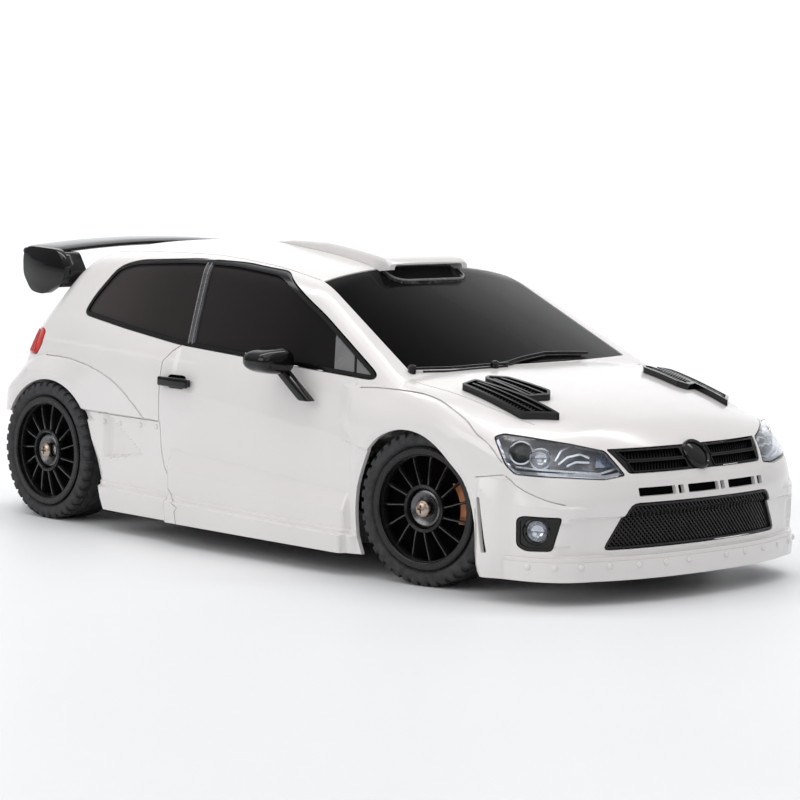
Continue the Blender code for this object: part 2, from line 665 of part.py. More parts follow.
def drive():
    """Motor pinion and spur gear, placed tooth in gap."""
    pitch = math.hypot(MOTOR_STATION - REAR_AXLE, MOTOR_HEIGHT - TYRE_RADIUS)
    big = pitch * SPUR_TEETH / (SPUR_TEETH + PINION_TEETH)
    small = pitch - big
    line = math.atan2(MOTOR_HEIGHT - TYRE_RADIUS, MOTOR_STATION - REAR_AXLE) / (2 * math.pi)
    gear("spur_gear", SPUR_TEETH, big, 0.3, 0.55, 2.4, (REAR_AXLE, 22, TYRE_RADIUS),
         1.5 + GAP, "fibre", line * SPUR_TEETH)
    pinion = gear("motor_pinion", PINION_TEETH, small, 0.3, 0.5, 3.0, (MOTOR_STATION, 22, MOTOR_HEIGHT),
                  0.7, "brass", (line + 0.5) * PINION_TEETH + 0.5)
    unite(pinion, rod("motor_shaft", 0.9, 8.9, (MOTOR_STATION, 19.55, MOTOR_HEIGHT), "Y", segments=12))
    rod("rear_axle", 1.5, 83.6, (REAR_AXLE, 0, TYRE_RADIUS), "Y", "steel", 20)


# Wheels

def rim(name, side, where, bore, frame):
    """A barrel with lips, closed at its outer end by spokes round a hub. Its axis is Y."""
    lip, well, inner = RIM_LIP, 13.0, 12.2
    outer = [(inner, 6.6), (lip, 6.6), (lip, 5.8), (well, 5.4), (well, -5.4), (lip, -5.8), (lip, -6.4),
             (inner, -6.4)]
    profile = [(r, z * side) for r, z in outer]
    made = turned(name, profile if side > 0 else profile[::-1], where, "Y", "black", 24, frame)
    step = 2 * math.pi / SPOKES
    loops = [arc((0, 0), 12.6, 0, 360 * 23 / 24, 24)]
    for i in range(SPOKES):
        middle = step * (i + 0.5)
        window = []
        for radius, width in ((5.6, 0.7), (11.9, 0.85)):
            half = step / 2 - width / 2 / radius
            for sign in (-1, 1) if radius < 8 else (1, -1):
                angle = middle + sign * half
                window.append((radius * math.cos(angle), radius * math.sin(angle)))
        loops.append(window)
    x, y, z = where
    loops = [[(x + a, z + b) for a, b in loop] for loop in loops]
    low, high = sorted((-y - side * 4.4, -y - side * 5.8))
    face = plate(name + "_face", loops, low, high, "side", None, frame)
    hub = rod(name + "_hub", 3.2, 6.8, (x, y + side * 2.2, z), "Y", None, 16, frame)
    unite(made, face, hub)
    return cut(made, rod(name + "_bore", bore, 20, (x, y, z), "Y", None, 12, frame))


def tyre(name, where, frame):
    """A low tyre whose bore steps over the rim's lips."""
    outer, half, bead = TYRE_RADIUS, TYRE_WIDTH / 2, RIM_LIP + GAP
    section = [(bead, half), (outer - 1.3, half), (outer, half - 1.3), (outer, 1.3 - half),
               (outer - 1.3, -half), (bead, -half), (bead, -5.4), (13.0 + GAP, -5.0), (13.0 + GAP, 5.0),
               (bead, 5.4)]
    return turned(name, section, where, "Y", "rubber", 30, frame)


def wheel(end, name, side, where, frame, bore):
    rim("{}_rim_{}".format(end, name), side, where, bore, frame)
    tyre("{}_tyre_{}".format(end, name), where, frame)
    x, y, z = where
    label = "{}_wheel_screw_{}".format(end, name)
    head = rod(label, 1.9, 1.2, (x, y + side * 6.6, z), "Y", "steel", 16, frame)
    return head


def wheels():
    for name, side in SIDES.items():
        frame = steering_frame(name, side)
        knuckle(name, side, frame)
        offset = FRONT_FACE - TYRE_WIDTH / 2 - KINGPIN
        wheel("front", name, side, (0, side * offset, TYRE_RADIUS), frame, 1.0 + GAP)
        centre = (REAR_AXLE, side * (REAR_FACE - TYRE_WIDTH / 2), TYRE_RADIUS)
        wheel("rear", name, side, centre, None, 1.5 + GAP)


body_shell()
glazing()
lamps()
grilles()
front_lip()
vents_and_scoop()
rear_wing()
door_mirrors()
door_handles()
chassis_tub()
front_suspension()
steering_link()
steering_gear()
electrics()
mounts()
t_plate()
rear_pod()
motor()
drive()
wheels()
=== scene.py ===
"""Looks for the rc drift car: a glossy white rally hatchback shell over a small chassis.

Lengths below are millimetres and become metres when a piece is made. Along the car, a station is
measured forward from a datum 69 mm ahead of the rear axle; y is to the left and z is up.
"""
import json
import math

import bmesh
import bpy
import numpy as np
from mathutils import Matrix, Vector


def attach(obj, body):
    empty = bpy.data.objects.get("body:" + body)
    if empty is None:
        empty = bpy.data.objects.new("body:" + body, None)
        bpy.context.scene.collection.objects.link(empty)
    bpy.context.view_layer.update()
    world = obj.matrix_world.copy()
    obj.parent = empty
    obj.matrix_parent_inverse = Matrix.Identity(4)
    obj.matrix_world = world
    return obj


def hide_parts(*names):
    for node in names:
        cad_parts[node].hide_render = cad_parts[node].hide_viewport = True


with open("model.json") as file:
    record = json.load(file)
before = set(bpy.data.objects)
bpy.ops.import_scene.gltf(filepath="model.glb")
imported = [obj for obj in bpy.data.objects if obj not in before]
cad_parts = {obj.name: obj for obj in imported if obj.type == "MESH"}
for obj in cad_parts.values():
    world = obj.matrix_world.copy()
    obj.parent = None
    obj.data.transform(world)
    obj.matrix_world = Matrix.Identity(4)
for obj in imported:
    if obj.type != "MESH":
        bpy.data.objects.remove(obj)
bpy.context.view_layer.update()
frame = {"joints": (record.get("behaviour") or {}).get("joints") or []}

MM = 0.001
JOINTS = {j["name"]: j for j in frame["joints"]}
REAR_AXLE = -69.0
DATUM = JOINTS["rear_axle_spin"]["pos_m"][0] / MM - REAR_AXLE
AXLE_HEIGHT = JOINTS["rear_axle_spin"]["pos_m"][2] / MM
FRONT_AXLE = JOINTS["front_wheel_left"]["pos_m"][0] / MM - DATUM
KINGPIN = JOINTS["front_wheel_left"]["pos_m"][1] / MM
TO_WORLD = Matrix.Scale(MM, 4) @ Matrix.Translation((DATUM, 0, 0))
FRONT_ARCH = 70.0
REAR_ARCH = -68.8
FRONT_FLARE = 46.2
REAR_FLARE = 44.9
SILL = 5.3
SKIN = 1.0
TYRE_RADIUS = 17.6
TYRE_HALF = 6.5
FRONT_OFFSET = 5.5
REAR_OFFSET = 38.5
SPOKES = 15
SLOT_LOW, SLOT_HIGH = 23.5, 25.4
MIRROR_OUT, MIRROR_HEIGHT = 50.4, 48
HANDLE_HEIGHT = 39.6
SEAM_DEPTH = 0.45
STEERED = Matrix.Rotation(math.radians(10), 4, "Z")
SIDES = {"left": 1, "right": -1}


# Materials

class Look:
    """A node material, with short calls for the nodes that it needs."""

    def __init__(self, name, colour=(0.8, 0.8, 0.8), roughness=0.5, metallic=0.0, **sockets):
        self.material = bpy.data.materials.new(name)
        self.material.use_nodes = True
        self.tree = self.material.node_tree
        self.shader = self.tree.nodes["Principled BSDF"]
        self.shader.inputs["Base Color"].default_value = (*colour, 1)
        self.shader.inputs["Roughness"].default_value = roughness
        self.shader.inputs["Metallic"].default_value = metallic
        for key, value in sockets.items():
            self.shader.inputs[key.replace("_", " ")].default_value = value
        self.place = self.node("ShaderNodeTexCoord").outputs["Object"]

    def node(self, kind, **settings):
        made = self.tree.nodes.new(kind)
        for key, value in settings.items():
            setattr(made, key, value)
        return made

    def link(self, output, target):
        self.tree.links.new(output, target)
        return self

    def noise(self, size, detail=3.0, stretch=(1, 1, 1)):
        """Noise with features of about this size in millimetres."""
        mapping = self.node("ShaderNodeMapping")
        mapping.inputs["Scale"].default_value = stretch
        self.link(self.place, mapping.inputs["Vector"])
        made = self.node("ShaderNodeTexNoise")
        made.inputs["Scale"].default_value = 1 / (size * MM)
        made.inputs["Detail"].default_value = detail
        self.link(mapping.outputs["Vector"], made.inputs["Vector"])
        return made.outputs["Fac"]

    def ramp(self, source, stops):
        made = self.node("ShaderNodeValToRGB")
        line = made.color_ramp
        line.elements[0].position = stops[0][0]
        line.elements[-1].position = stops[-1][0]
        for at, _ in stops[1:-1]:
            line.elements.new(at)
        for element, (_, value) in zip(line.elements, stops):
            element.color = (*value, 1) if isinstance(value, tuple) else (value, value, value, 1)
        self.link(source, made.inputs["Fac"])
        return made.outputs["Color"]

    def colour(self, size, stops, **options):
        return self.link(self.ramp(self.noise(size, **options), stops), self.shader.inputs["Base Color"])

    def rough(self, size, low, high, **options):
        shade = self.ramp(self.noise(size, **options), [(0.35, low), (0.65, high)])
        return self.link(shade, self.shader.inputs["Roughness"])

    def along(self, output, low, high, stops):
        """Colour by where a position lies between two values in metres."""
        spread = self.node("ShaderNodeMapRange")
        spread.inputs["From Min"].default_value = low
        spread.inputs["From Max"].default_value = high
        self.link(output, spread.inputs["Value"])
        return self.link(self.ramp(spread.outputs["Result"], stops), self.shader.inputs["Base Color"])

    def bump(self, size, height, **options):
        made = self.node("ShaderNodeBump")
        made.inputs["Strength"].default_value = 1.0
        made.inputs["Distance"].default_value = height * MM
        self.link(self.noise(size, **options), made.inputs["Height"])
        return self.link(made.outputs["Normal"], self.shader.inputs["Normal"])


def white_look(name, low, high):
    look = Look(name, Coat_Weight=0.4, Coat_Roughness=0.08)
    warm = lambda v: (v, v * 0.965, v * 0.95)
    look.colour(30, [(0.3, warm(low)), (0.7, warm(high))], detail=1)
    return look.rough(14, 0.2, 0.27, detail=1).bump(1.1, 0.0012)


def dark_look(name, shade, low, high, size=3.0, height=0.01, grain=0.6, shine=0.25):
    look = Look(name, Specular_IOR_Level=shine)
    tone = lambda v: (v, v, v * 1.04)
    look.colour(size, [(0.3, tone(shade * 0.75)), (0.7, tone(shade * 1.3))]).rough(size * 1.4, low, high)
    return look.bump(grain, height)


def metal_look(name, colour, low, high, stretch=(1, 1, 1)):
    look = Look(name, metallic=1.0)
    deep = tuple(c * 0.8 for c in colour)
    look.colour(1.6, [(0.3, deep), (0.7, colour)], stretch=stretch).rough(0.8, low, high, stretch=stretch)
    return look.bump(0.35, 0.006, stretch=stretch)


def glass_look(name, shade):
    """Smoked film with a painted reflection: darkest in the middle of the car, lighter and a little browner
    towards the tail.
    """
    look = Look(name, roughness=0.05, Specular_IOR_Level=0.08)
    apart = look.node("ShaderNodeSeparateXYZ")
    look.link(look.place, apart.inputs["Vector"])
    stops = [(0.0, tuple(c * 2.4 for c in shade)), (0.45, shade), (1.0, tuple(c * 0.35 for c in shade))]
    return look.along(apart.outputs["X"], -0.08, 0.02, stops).rough(12, 0.03, 0.09)


def screen_look():
    """Smoked film with a painted reflection: black at the right lower corner and grey towards the left
    upper one.
    """
    look = Look("windscreen_film_painted_reflection", roughness=0.06, Specular_IOR_Level=0.03)
    apart = look.node("ShaderNodeSeparateXYZ")
    look.link(look.place, apart.inputs["Vector"])
    lean = look.node("ShaderNodeMath", operation="MULTIPLY_ADD")
    lean.inputs[1].default_value = 0.9
    look.link(apart.outputs["Z"], lean.inputs[0]).link(apart.outputs["Y"], lean.inputs[2])
    painted_reflection_tones = [(0.0, 0.001), (0.35, 0.006), (0.7, 0.03), (1.0, 0.075)]
    return look.along(lean.outputs["Value"], 0.028, 0.086, painted_reflection_tones).rough(12, 0.04, 0.09)


def make_looks():
    looks = {
        "white": white_look("shell_white", 0.79, 0.82),
        "glass": glass_look("smoked_film_painted_reflection", (0.03, 0.026, 0.026)),
        "windscreen": screen_look(),
        "gloss": dark_look("gloss_black", 0.004, 0.06, 0.12, 4, 0.001, 1.2, 0.38),
        "satin": dark_look("satin_black", 0.016, 0.32, 0.45, 3, 0.008, 0.35),
        "rim": dark_look("rim_black", 0.008, 0.2, 0.3, 3, 0.003, 0.4, 0.4),
        "rubber": dark_look("tyre_rubber", 0.045, 0.62, 0.8, 1.6, 0.03, 0.25),
        "foam": dark_look("black_foam", 0.02, 0.85, 0.97, 0.8, 0.12, 0.5),
        # Painted shade: a near-black, barely reflective look for sheets put where the inside of an opening
        # or a wheel lies in shade
        "painted_shade": dark_look("painted_shade_black", 0.0025, 0.7, 0.9, 4, 0.01, 1.0, 0.02),
        "steel": metal_look("bright_steel", (0.62, 0.61, 0.6), 0.2, 0.36),
        "aluminium": metal_look("aluminium", (0.72, 0.73, 0.75), 0.28, 0.42, (1, 1, 6)),
        "brass": metal_look("brass", (0.62, 0.36, 0.13), 0.25, 0.42),
        "copper": metal_look("copper", (0.42, 0.17, 0.09), 0.35, 0.55),
        "chrome": metal_look("reflector", (0.66, 0.67, 0.7), 0.1, 0.25),
        "bright": metal_look("bright_trim", (0.5, 0.5, 0.51), 0.16, 0.3),
        "cup": metal_look("dull_washer", (0.16, 0.16, 0.165), 0.2, 0.32),
        "screw": metal_look("screw_metal", (0.5, 0.4, 0.33), 0.22, 0.36),
        "strip_light": metal_look("lamp_strip", (0.78, 0.8, 0.83), 0.25, 0.4),
        "facet": metal_look("lamp_facet", (0.42, 0.47, 0.56), 0.2, 0.35),
        "spoke": dark_look("spoke_black", 0.01, 0.14, 0.24, 3, 0.002, 0.4, 0.7),
        "lamp_back": dark_look("lamp_inside", 0.4, 0.2, 0.35, 5, 0.002, 0.4, 0.6),
        "pillar": dark_look("pillar_film", 0.075, 0.2, 0.3, 6, 0.002, 1.0, 0.4),
    }
    looks["clear"] = Look("clear_plastic", (0.95, 0.97, 1.0), 0.04, Transmission_Weight=1.0, IOR=1.3)
    looks["clear"].rough(5, 0.02, 0.08)
    looks["red"] = Look("red_lens", Coat_Weight=0.5, Coat_Roughness=0.04)
    looks["red"].colour(1.2, [(0.35, (0.5, 0.012, 0.008)), (0.65, (0.75, 0.03, 0.015))])
    looks["red"].rough(3, 0.1, 0.22).bump(0.7, 0.03)
    looks["strip"] = Look("grey_strip").rough(5, 0.2, 0.32)
    looks["strip"].colour(6, [(0.3, (0.15, 0.15, 0.155)), (0.7, (0.19, 0.19, 0.19))])
    looks["wrap"] = Look("blue_wrap").rough(3, 0.25, 0.4).bump(5, 0.15)
    looks["wrap"].colour(6, [(0.3, (0.004, 0.009, 0.035)), (0.7, (0.006, 0.014, 0.05))])
    looks["board"] = Look("circuit_board").rough(2, 0.3, 0.5).bump(1.1, 0.12, detail=0)
    green = [(0.42, (0.005, 0.07, 0.025)), (0.5, (0.01, 0.14, 0.05)), (0.62, (0.3, 0.28, 0.16))]
    looks["board"].colour(1.1, green, detail=0)
    looks["fibre"] = Look("glass_fibre").rough(2, 0.35, 0.5).bump(0.5, 0.02, stretch=(1, 6, 1))
    looks["fibre"].colour(0.7, [(0.3, (0.4, 0.36, 0.18)), (0.7, (0.62, 0.57, 0.34))], stretch=(6, 1, 1))
    return {key: value.material for key, value in looks.items()}


LOOKS = make_looks()


# Meshes: built in millimetres and stations, then moved to the frame when they become a piece

def face_out(shape):
    bmesh.ops.recalc_face_normals(shape, faces=shape.faces)
    if shape.calc_volume(signed=True) < 0:
        bmesh.ops.reverse_faces(shape, faces=shape.faces)


def finished(shape):
    made = bpy.data.meshes.new("mesh")
    shape.to_mesh(made)
    return made


def shown(name, data):
    made = bpy.data.objects.new(name, data)
    bpy.context.scene.collection.objects.link(made)
    return made


def temporary(data):
    return shown("temporary", data)


def settle(made, *others):
    """The mesh that an object's modifiers give; the object and its tools are removed."""
    bpy.context.view_layer.update()
    mesh = bpy.data.meshes.new_from_object(made.evaluated_get(bpy.context.evaluated_depsgraph_get()))
    for old in (made, *others):
        bpy.data.objects.remove(old)
    return mesh


def combine(target, operation, *tools, solver="MANIFOLD"):
    made = temporary(target)
    others = [temporary(tool) for tool in tools]
    for other in others:
        step = made.modifiers.new(operation, "BOOLEAN")
        step.operation = operation
        step.solver = solver
        step.object = other
    return settle(made, *others)


def cut(target, *tools, solver="MANIFOLD"):
    return combine(target, "DIFFERENCE", *tools, solver=solver)


def within(target, *tools):
    return combine(target, "INTERSECT", *tools)


def union(target, *tools, solver="MANIFOLD"):
    return combine(target, "UNION", *tools, solver=solver)


def join(*meshes):
    """Several closed meshes as one."""
    shape = bmesh.new()
    for mesh in meshes:
        shape.from_mesh(mesh)
    return finished(shape)


def moved(mesh, matrix):
    made = mesh.copy()
    made.transform(matrix)
    if matrix.determinant() < 0:
        made.flip_normals()
    return made


def bevelled(mesh, width, segments=2, angle=30):
    made = temporary(mesh)
    step = made.modifiers.new("edge", "BEVEL")
    step.width = width
    step.segments = segments
    step.limit_method = "ANGLE"
    step.angle_limit = math.radians(angle)
    return settle(made)


def block(size, where, bevel=0.0, segments=2):
    shape = bmesh.new()
    bmesh.ops.create_cube(shape, size=1)
    bmesh.ops.scale(shape, vec=size, verts=shape.verts)
    if bevel:
        bmesh.ops.bevel(shape, geom=shape.edges[:], offset=bevel, segments=segments, affect="EDGES",
                        profile=0.5)
    bmesh.ops.translate(shape, vec=where, verts=shape.verts)
    return finished(shape)


def bridge(shape, rings):
    """Faces from each ring of points to the next; a point that repeats counts once."""
    for first, second in zip(rings, rings[1:]):
        for i in range(len(first)):
            corners = list(dict.fromkeys((first[i], first[i - 1], second[i - 1], second[i])))
            if len(corners) > 2:
                shape.faces.new(corners)


def lathe(profile, axis="Y", segments=64):
    """Turn a closed profile of (radius, distance along the axis outwards) points."""
    shape = bmesh.new()
    rings = []
    for radius, out in profile:
        if radius < 1e-6:
            rings.append([shape.verts.new(spun(0, out, 0, axis))] * segments)
        else:
            rings.append([shape.verts.new(spun(radius, out, 2 * math.pi * i / segments, axis))
                          for i in range(segments)])
    bridge(shape, rings + rings[:1])
    face_out(shape)
    return finished(shape)


def spun(radius, along, angle, axis):
    a, b = radius * math.cos(angle), radius * math.sin(angle)
    return (a, along, b) if axis == "Y" else (a, b, along)


def loft(rings):
    """A closed mesh through rings that have the same number of points, with flat ends."""
    shape = bmesh.new()
    verts = [[shape.verts.new(p) for p in ring] for ring in rings]
    bridge(shape, verts)
    shape.faces.new(verts[0])
    shape.faces.new(verts[-1][::-1])
    face_out(shape)
    return finished(shape)


PLANES = {
    "side": Matrix(((1, 0, 0), (0, 0, -1), (0, 1, 0))),
    "front": Matrix(((0, 0, 1), (1, 0, 0), (0, 1, 0))),
    "top": Matrix.Identity(3),
}


def corner_plane(side):
    """A vertical plane that faces a front corner of the car at 45 degrees."""
    out = Vector((1, side, 0)).normalized()
    up = Vector((0, 0, 1))
    return Matrix((up.cross(out), up, out)).transposed()


def basis_of(plane):
    return PLANES[plane] if isinstance(plane, str) else plane


def welded(curve):
    """The solid mesh of a curve."""
    shape = bmesh.new()
    shape.from_mesh(settle(temporary(curve)))
    bmesh.ops.remove_doubles(shape, verts=shape.verts, dist=0.0005)
    face_out(shape)
    return finished(shape)


def placed(profile, where, out, segments):
    """A lathe at a place, with its axis along a direction."""
    mesh = lathe(profile, "Z", segments)
    mesh.transform(Matrix.Translation(where) @ Vector(out).to_track_quat("Z", "Y").to_matrix().to_4x4())
    return mesh


def plate(outlines, low, high, plane="top", bevel=0.0):
    """A flat piece with one or more outlines, from low to high across its plane."""
    curve = bpy.data.curves.new("plate", "CURVE")
    curve.dimensions = "2D"
    curve.fill_mode = "BOTH"
    curve.extrude = (high - low) / 2
    for outline in outlines:
        spline = curve.splines.new("POLY")
        spline.points.add(len(outline) - 1)
        spline.use_cyclic_u = True
        for knot, (a, b) in zip(spline.points, outline):
            knot.co = (a, b, 0, 1)
    mesh = welded(curve)
    mesh.transform(Matrix.Translation((0, 0, (low + high) / 2)))
    mesh.transform(basis_of(plane).to_4x4())
    return bevelled(mesh, bevel) if bevel else mesh


def tube(points, radius, sides=10):
    """A closed round bar along a line of points."""
    curve = bpy.data.curves.new("tube", "CURVE")
    curve.dimensions = "3D"
    curve.bevel_depth = radius
    curve.bevel_resolution = max(1, sides // 2 - 1)
    curve.use_fill_caps = True
    spline = curve.splines.new("POLY")
    spline.points.add(len(points) - 1)
    for knot, point in zip(spline.points, points):
        knot.co = (*point, 1)
    return welded(curve)


def dome(radius, height, where, out, segments):
    """A rivet's head that faces a direction, with its foot sunk under the surface."""
    profile = [(0, -0.4), (radius, -0.4), (radius, 0)]
    for a in np.linspace(0.35, math.pi / 2, 5)[:-1]:
        profile.append((radius * math.cos(a), height * math.sin(a)))
    return placed([*profile, (0, height)], where, out, segments)


def creased(mesh, angle=32):
    """Smooth shading with the sharp edges kept."""
    shape = bmesh.new()
    shape.from_mesh(mesh)
    for face in shape.faces:
        face.smooth = True
    for edge in shape.edges:
        edge.smooth = len(edge.link_faces) == 2 and edge.calc_face_angle(0) < math.radians(angle)
    shape.to_mesh(mesh)
    return mesh


def piece(name, mesh, body, slot, look, nodes=(), form=False, angle=32):
    """Make a mesh a visible piece that rides on a body, and stands for CAD nodes when they are given."""
    creased(mesh, angle)
    if form:
        follow_form(mesh)
    mesh.transform(TO_WORLD)
    mesh.name = name
    mesh.materials.clear()
    mesh.materials.append(LOOKS[look])
    made = shown(name, mesh)
    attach(made, body)
    if nodes:
        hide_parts(*nodes)


def trim(name, mesh, slot, look, *nodes, **shading):
    """A piece that rides on the shell."""
    piece(name, mesh, "shell", slot, look, nodes, **shading)


# The shell's outer surface

def blend_low(a, b, reach):
    """The lower of two fields, rounded where they cross."""
    mix = np.clip(0.5 + 0.5 * (b - a) / reach, 0, 1)
    return b + (a - b) * mix - reach * mix * (1 - mix)


def turn_on(value, width):
    """A smooth switch from 0 to 1 around zero."""
    t = np.clip(value / width + 0.5, 0, 1)
    return t * t * (3 - 2 * t)


def fair(at, knots):
    """A smooth line through (position, value) knots that doesn't overshoot them."""
    place = np.array([k[0] for k in knots], float)
    value = np.array([k[1] for k in knots], float)
    rise = np.diff(value) / np.diff(place)
    slope = np.zeros(len(place))
    turning = rise[:-1] * rise[1:] > 0
    slope[1:-1] = np.where(turning, 2 * rise[:-1] * rise[1:] / (rise[:-1] + rise[1:] + 1e-12), 0)
    slope[0] = rise[0]
    slope[-1] = rise[-1]
    at = np.clip(at, place[0], place[-1])
    i = np.clip(np.searchsorted(place, at, side="right") - 1, 0, len(place) - 2)
    span = place[i + 1] - place[i]
    t = (at - place[i]) / span
    return ((1 + 2 * t) * (1 - t) ** 2 * value[i] + t * (1 - t) ** 2 * span * slope[i]
            + t * t * (3 - 2 * t) * value[i + 1] + t * t * (t - 1) * span * slope[i + 1])


def top_height(x, y):
    """Height of the bonnet, windscreen and roof over a point in plan."""
    u = np.clip((x - 60) / 54, -0.3, 1.25)
    bonnet = 48.0 - 4.5 * u - 10.3 * np.abs(u) ** 3.2 * np.sign(u)
    drop = fair(x, [(45, 2.2), (60, 2.5), (72, 3.2), (92, 5.7), (116, 6.5)])
    bonnet = bonnet - drop * np.abs(y / 40) ** 2.6
    screen = 47.6 + 0.5 * (62.8 - 0.0038 * y * y - x)
    roof = fair(x, [(-100, 64.5), (-76, 69.2), (-60, 71.4), (-40, 72.6), (-20, 73), (0, 71.9), (22, 68.9),
                    (40, 65.5)])
    roof = roof - 3.2 * np.abs(y / 30) ** 2.4
    return np.maximum(bonnet, blend_low(screen, roof, 1.2))


def arc(centre, radius, start, end, steps):
    wide, tall = radius if isinstance(radius, tuple) else (radius, radius)
    angles = np.radians(np.linspace(start, end, steps))
    return [(centre[0] + wide * math.cos(a), centre[1] + tall * math.sin(a)) for a in angles]


def flowing(points, steps=5):
    """A smooth line through the points of an open outline."""
    line = np.array(points, float)
    along = np.concatenate([[0], np.cumsum(np.linalg.norm(np.diff(line, axis=0), axis=1))])
    slope = np.gradient(line, along, axis=0)
    made = []
    for i in range(len(line) - 1):
        span = along[i + 1] - along[i]
        for t in np.arange(steps) / steps:
            made.append(tuple((1 + 2 * t) * (1 - t) ** 2 * line[i] + t * (1 - t) ** 2 * span * slope[i]
                              + t * t * (3 - 2 * t) * line[i + 1] + t * t * (t - 1) * span * slope[i + 1]))
    return made + [tuple(line[-1])]


FRONT_OPENING = [(93.4, 0)] + flowing([(92.3, 5), (90.7, 8), (90, 15), (89.2, 19), (86.2, 25.5),
                                       (81.4, 29.5), (76, 33.2), (72.2, 34.7), (68.5, 35.3), (64.9, 35.2),
                                       (61.2, 34.3), (57.5, 32.5), (54.8, 30.1)]) + flowing([(54.4, 29.6),
                                                                                             (52.4, 25),
                                                                                             (51, 20.8),
                                                                                             (50.5, 15),
                                                                                             (51, 9.5),
                                                                                             (52.6, 5),
                                                                                             (54, 0)])
REAR_OPENING = [(-41, 0)] + arc((REAR_ARCH, TYRE_RADIUS), (18.8, 18.4), 34, 180,
                                60) + [(REAR_ARCH - 19.2, 0)]


def polar(x, z, centre):
    return np.hypot(x - centre, z - TYRE_RADIUS), np.degrees(np.arctan2(z - TYRE_RADIUS, x - centre))


def from_below(angle):
    return np.where(angle < -90, angle + 360, angle)


def beyond_opening(x, z, centre, outline):
    """Distance out from the edge of a wheel opening, as seen from the side."""
    radii, angles = polar(*np.array(outline).T, centre)
    angles = from_below(angles)
    order = np.argsort(angles)
    radius, angle = polar(x, z, centre)
    return radius - np.interp(from_below(angle), angles[order], radii[order])


REAR_SEAM = [(10, 46), (15.8, 43.4), (21.9, 40.5), (32.7, 36.1), (44.1, 31.6), (59.3, 27.4), (84, 24.4),
             (110, 25), (180, 27)]
REAR_CREST = [(10, 24), (32.9, 20.8), (43, 19.9), (57.5, 19.7), (71.7, 20.1), (82, 20.1), (106, 21.1),
              (121, 23.2), (180, 24)]
FRONT_SEAM = [(0, 31), (24, 30.5), (38.7, 27.5), (44.8, 26.4), (54, 25.7), (64.8, 25.1), (78.8, 25.2),
              (92, 25.8), (107.6, 27.5), (118, 29.6), (127, 33), (140, 39)]
FRONT_CREST = [(0, 23), (25.7, 21.9), (32, 20.7), (41, 20.4), (53, 20.6), (67, 20.7), (84, 21.2),
               (105, 23.2), (118.5, 27.4), (136.5, 34.3), (150, 41)]
PANEL_LINE = 29.35


def rise_between(radius, seam, crest):
    return np.clip((seam - radius) / (seam - crest), 0, 1)


def half_width(x, z):
    """Half width of the sides: doors with folds, flared arches, sills, and windows that lean in."""
    waist = fair(x, [(-110, 40.5), (-90, 41.3), (-69, 42.4), (-50, 44.2), (-36, 45.2), (0, 45.4), (60, 45),
                     (92, 44.6), (104, 42), (118, 38)])
    belt = fair(x, [(-100, 51.5), (-63, 51.3), (-40, 49.8), (-15, 47.8), (20, 46.2), (50, 44.6),
                    (60, 44.4)])
    door = waist + 0.4 - 0.0022 * (z - 24) ** 2
    on_door = turn_on(x + 16.5, 2) * turn_on(48.2 - x, 1.2)
    below_fold, above_fold = 22.2 - 0.0621 * x - z, z - 36.6 + 0.108 * x
    door = door + on_door * (0.42 * np.clip(below_fold, 0, 4.4) - 0.1 * np.clip(above_fold, 0, 9))
    shoulder = 45.4 - 0.022 * (x + 40)
    door = door + (0.35 * turn_on(shoulder - z, 0.9) * turn_on(x + 74, 5) * turn_on(-12 - x, 12)
                   * turn_on(z - 30, 10))
    between = turn_on(x + 51, 3) * turn_on(50.5 - x, 2)
    sill = fair(x, [(-51, 11.3), (-17, 10.7), (51, 9.5)])
    door = door + between * (0.45 * turn_on(sill + 1.1 - z, 0.3) + 1.05 * turn_on(sill - z, 0.45))
    reach_rear = np.where(x < 0, rear_flare(x, z, door), 0)
    reach_front = np.where(x > 20, front_flare(x, z, door), 0)
    door = door + reach_rear + reach_front
    beside_quarter = np.where((z < 27) & (x > REAR_AXLE), 6, 0)
    edge = np.minimum(beyond_opening(x, z, REAR_ARCH, REAR_OPENING) + beside_quarter,
                      beyond_opening(x, z, FRONT_ARCH, FRONT_OPENING))
    door = door - 0.45 * np.clip((1.5 - edge) / 1.5, 0, 1)
    window = waist - 1.9 - 0.43 * (z - belt) - 0.0016 * (z - belt) ** 2
    return blend_low(door, window, 1.2)


def rear_flare(x, z, door):
    """How far the rear arch stands out, with the quarter panel and its triangular duct below it."""
    radius, angle = polar(x, z, REAR_AXLE)
    seam = fair(angle, REAR_SEAM)
    over = rise_between(radius, seam, fair(angle, REAR_CREST))
    flare = 0.45 * turn_on(seam - radius, 0.25) + (REAR_FLARE - door - 0.45) * over
    tuck = -0.55 * turn_on(-21 - x, 8) * turn_on(z - 13, 9)
    top_edge = 20.5 + (-28.1 - x) * 0.57
    low_edge = 20.5 + (-28.1 - x) * -0.15
    deep = np.clip((-28 - x) / 10, 0, 1) * turn_on(x + 44.5, 3)
    duct = -1.8 * deep * turn_on(top_edge - z, 0.35) * turn_on(z - low_edge, 0.7)
    upper = turn_on(z - PANEL_LINE, 0.2)
    ahead = upper * flare + (1 - upper) * (tuck + duct)
    low_swell = (REAR_FLARE - door) * turn_on(26.5 - radius, 7)
    corner = low_swell * turn_on(z - 26.2, 0.4) - 1.6 * turn_on(26.2 - z, 0.4) * turn_on(-70 - x, 4)
    fold = turn_on(z - 30.5, 0.4)
    behind = fold * flare + (1 - fold) * corner
    return np.where(x > REAR_AXLE, ahead, behind)


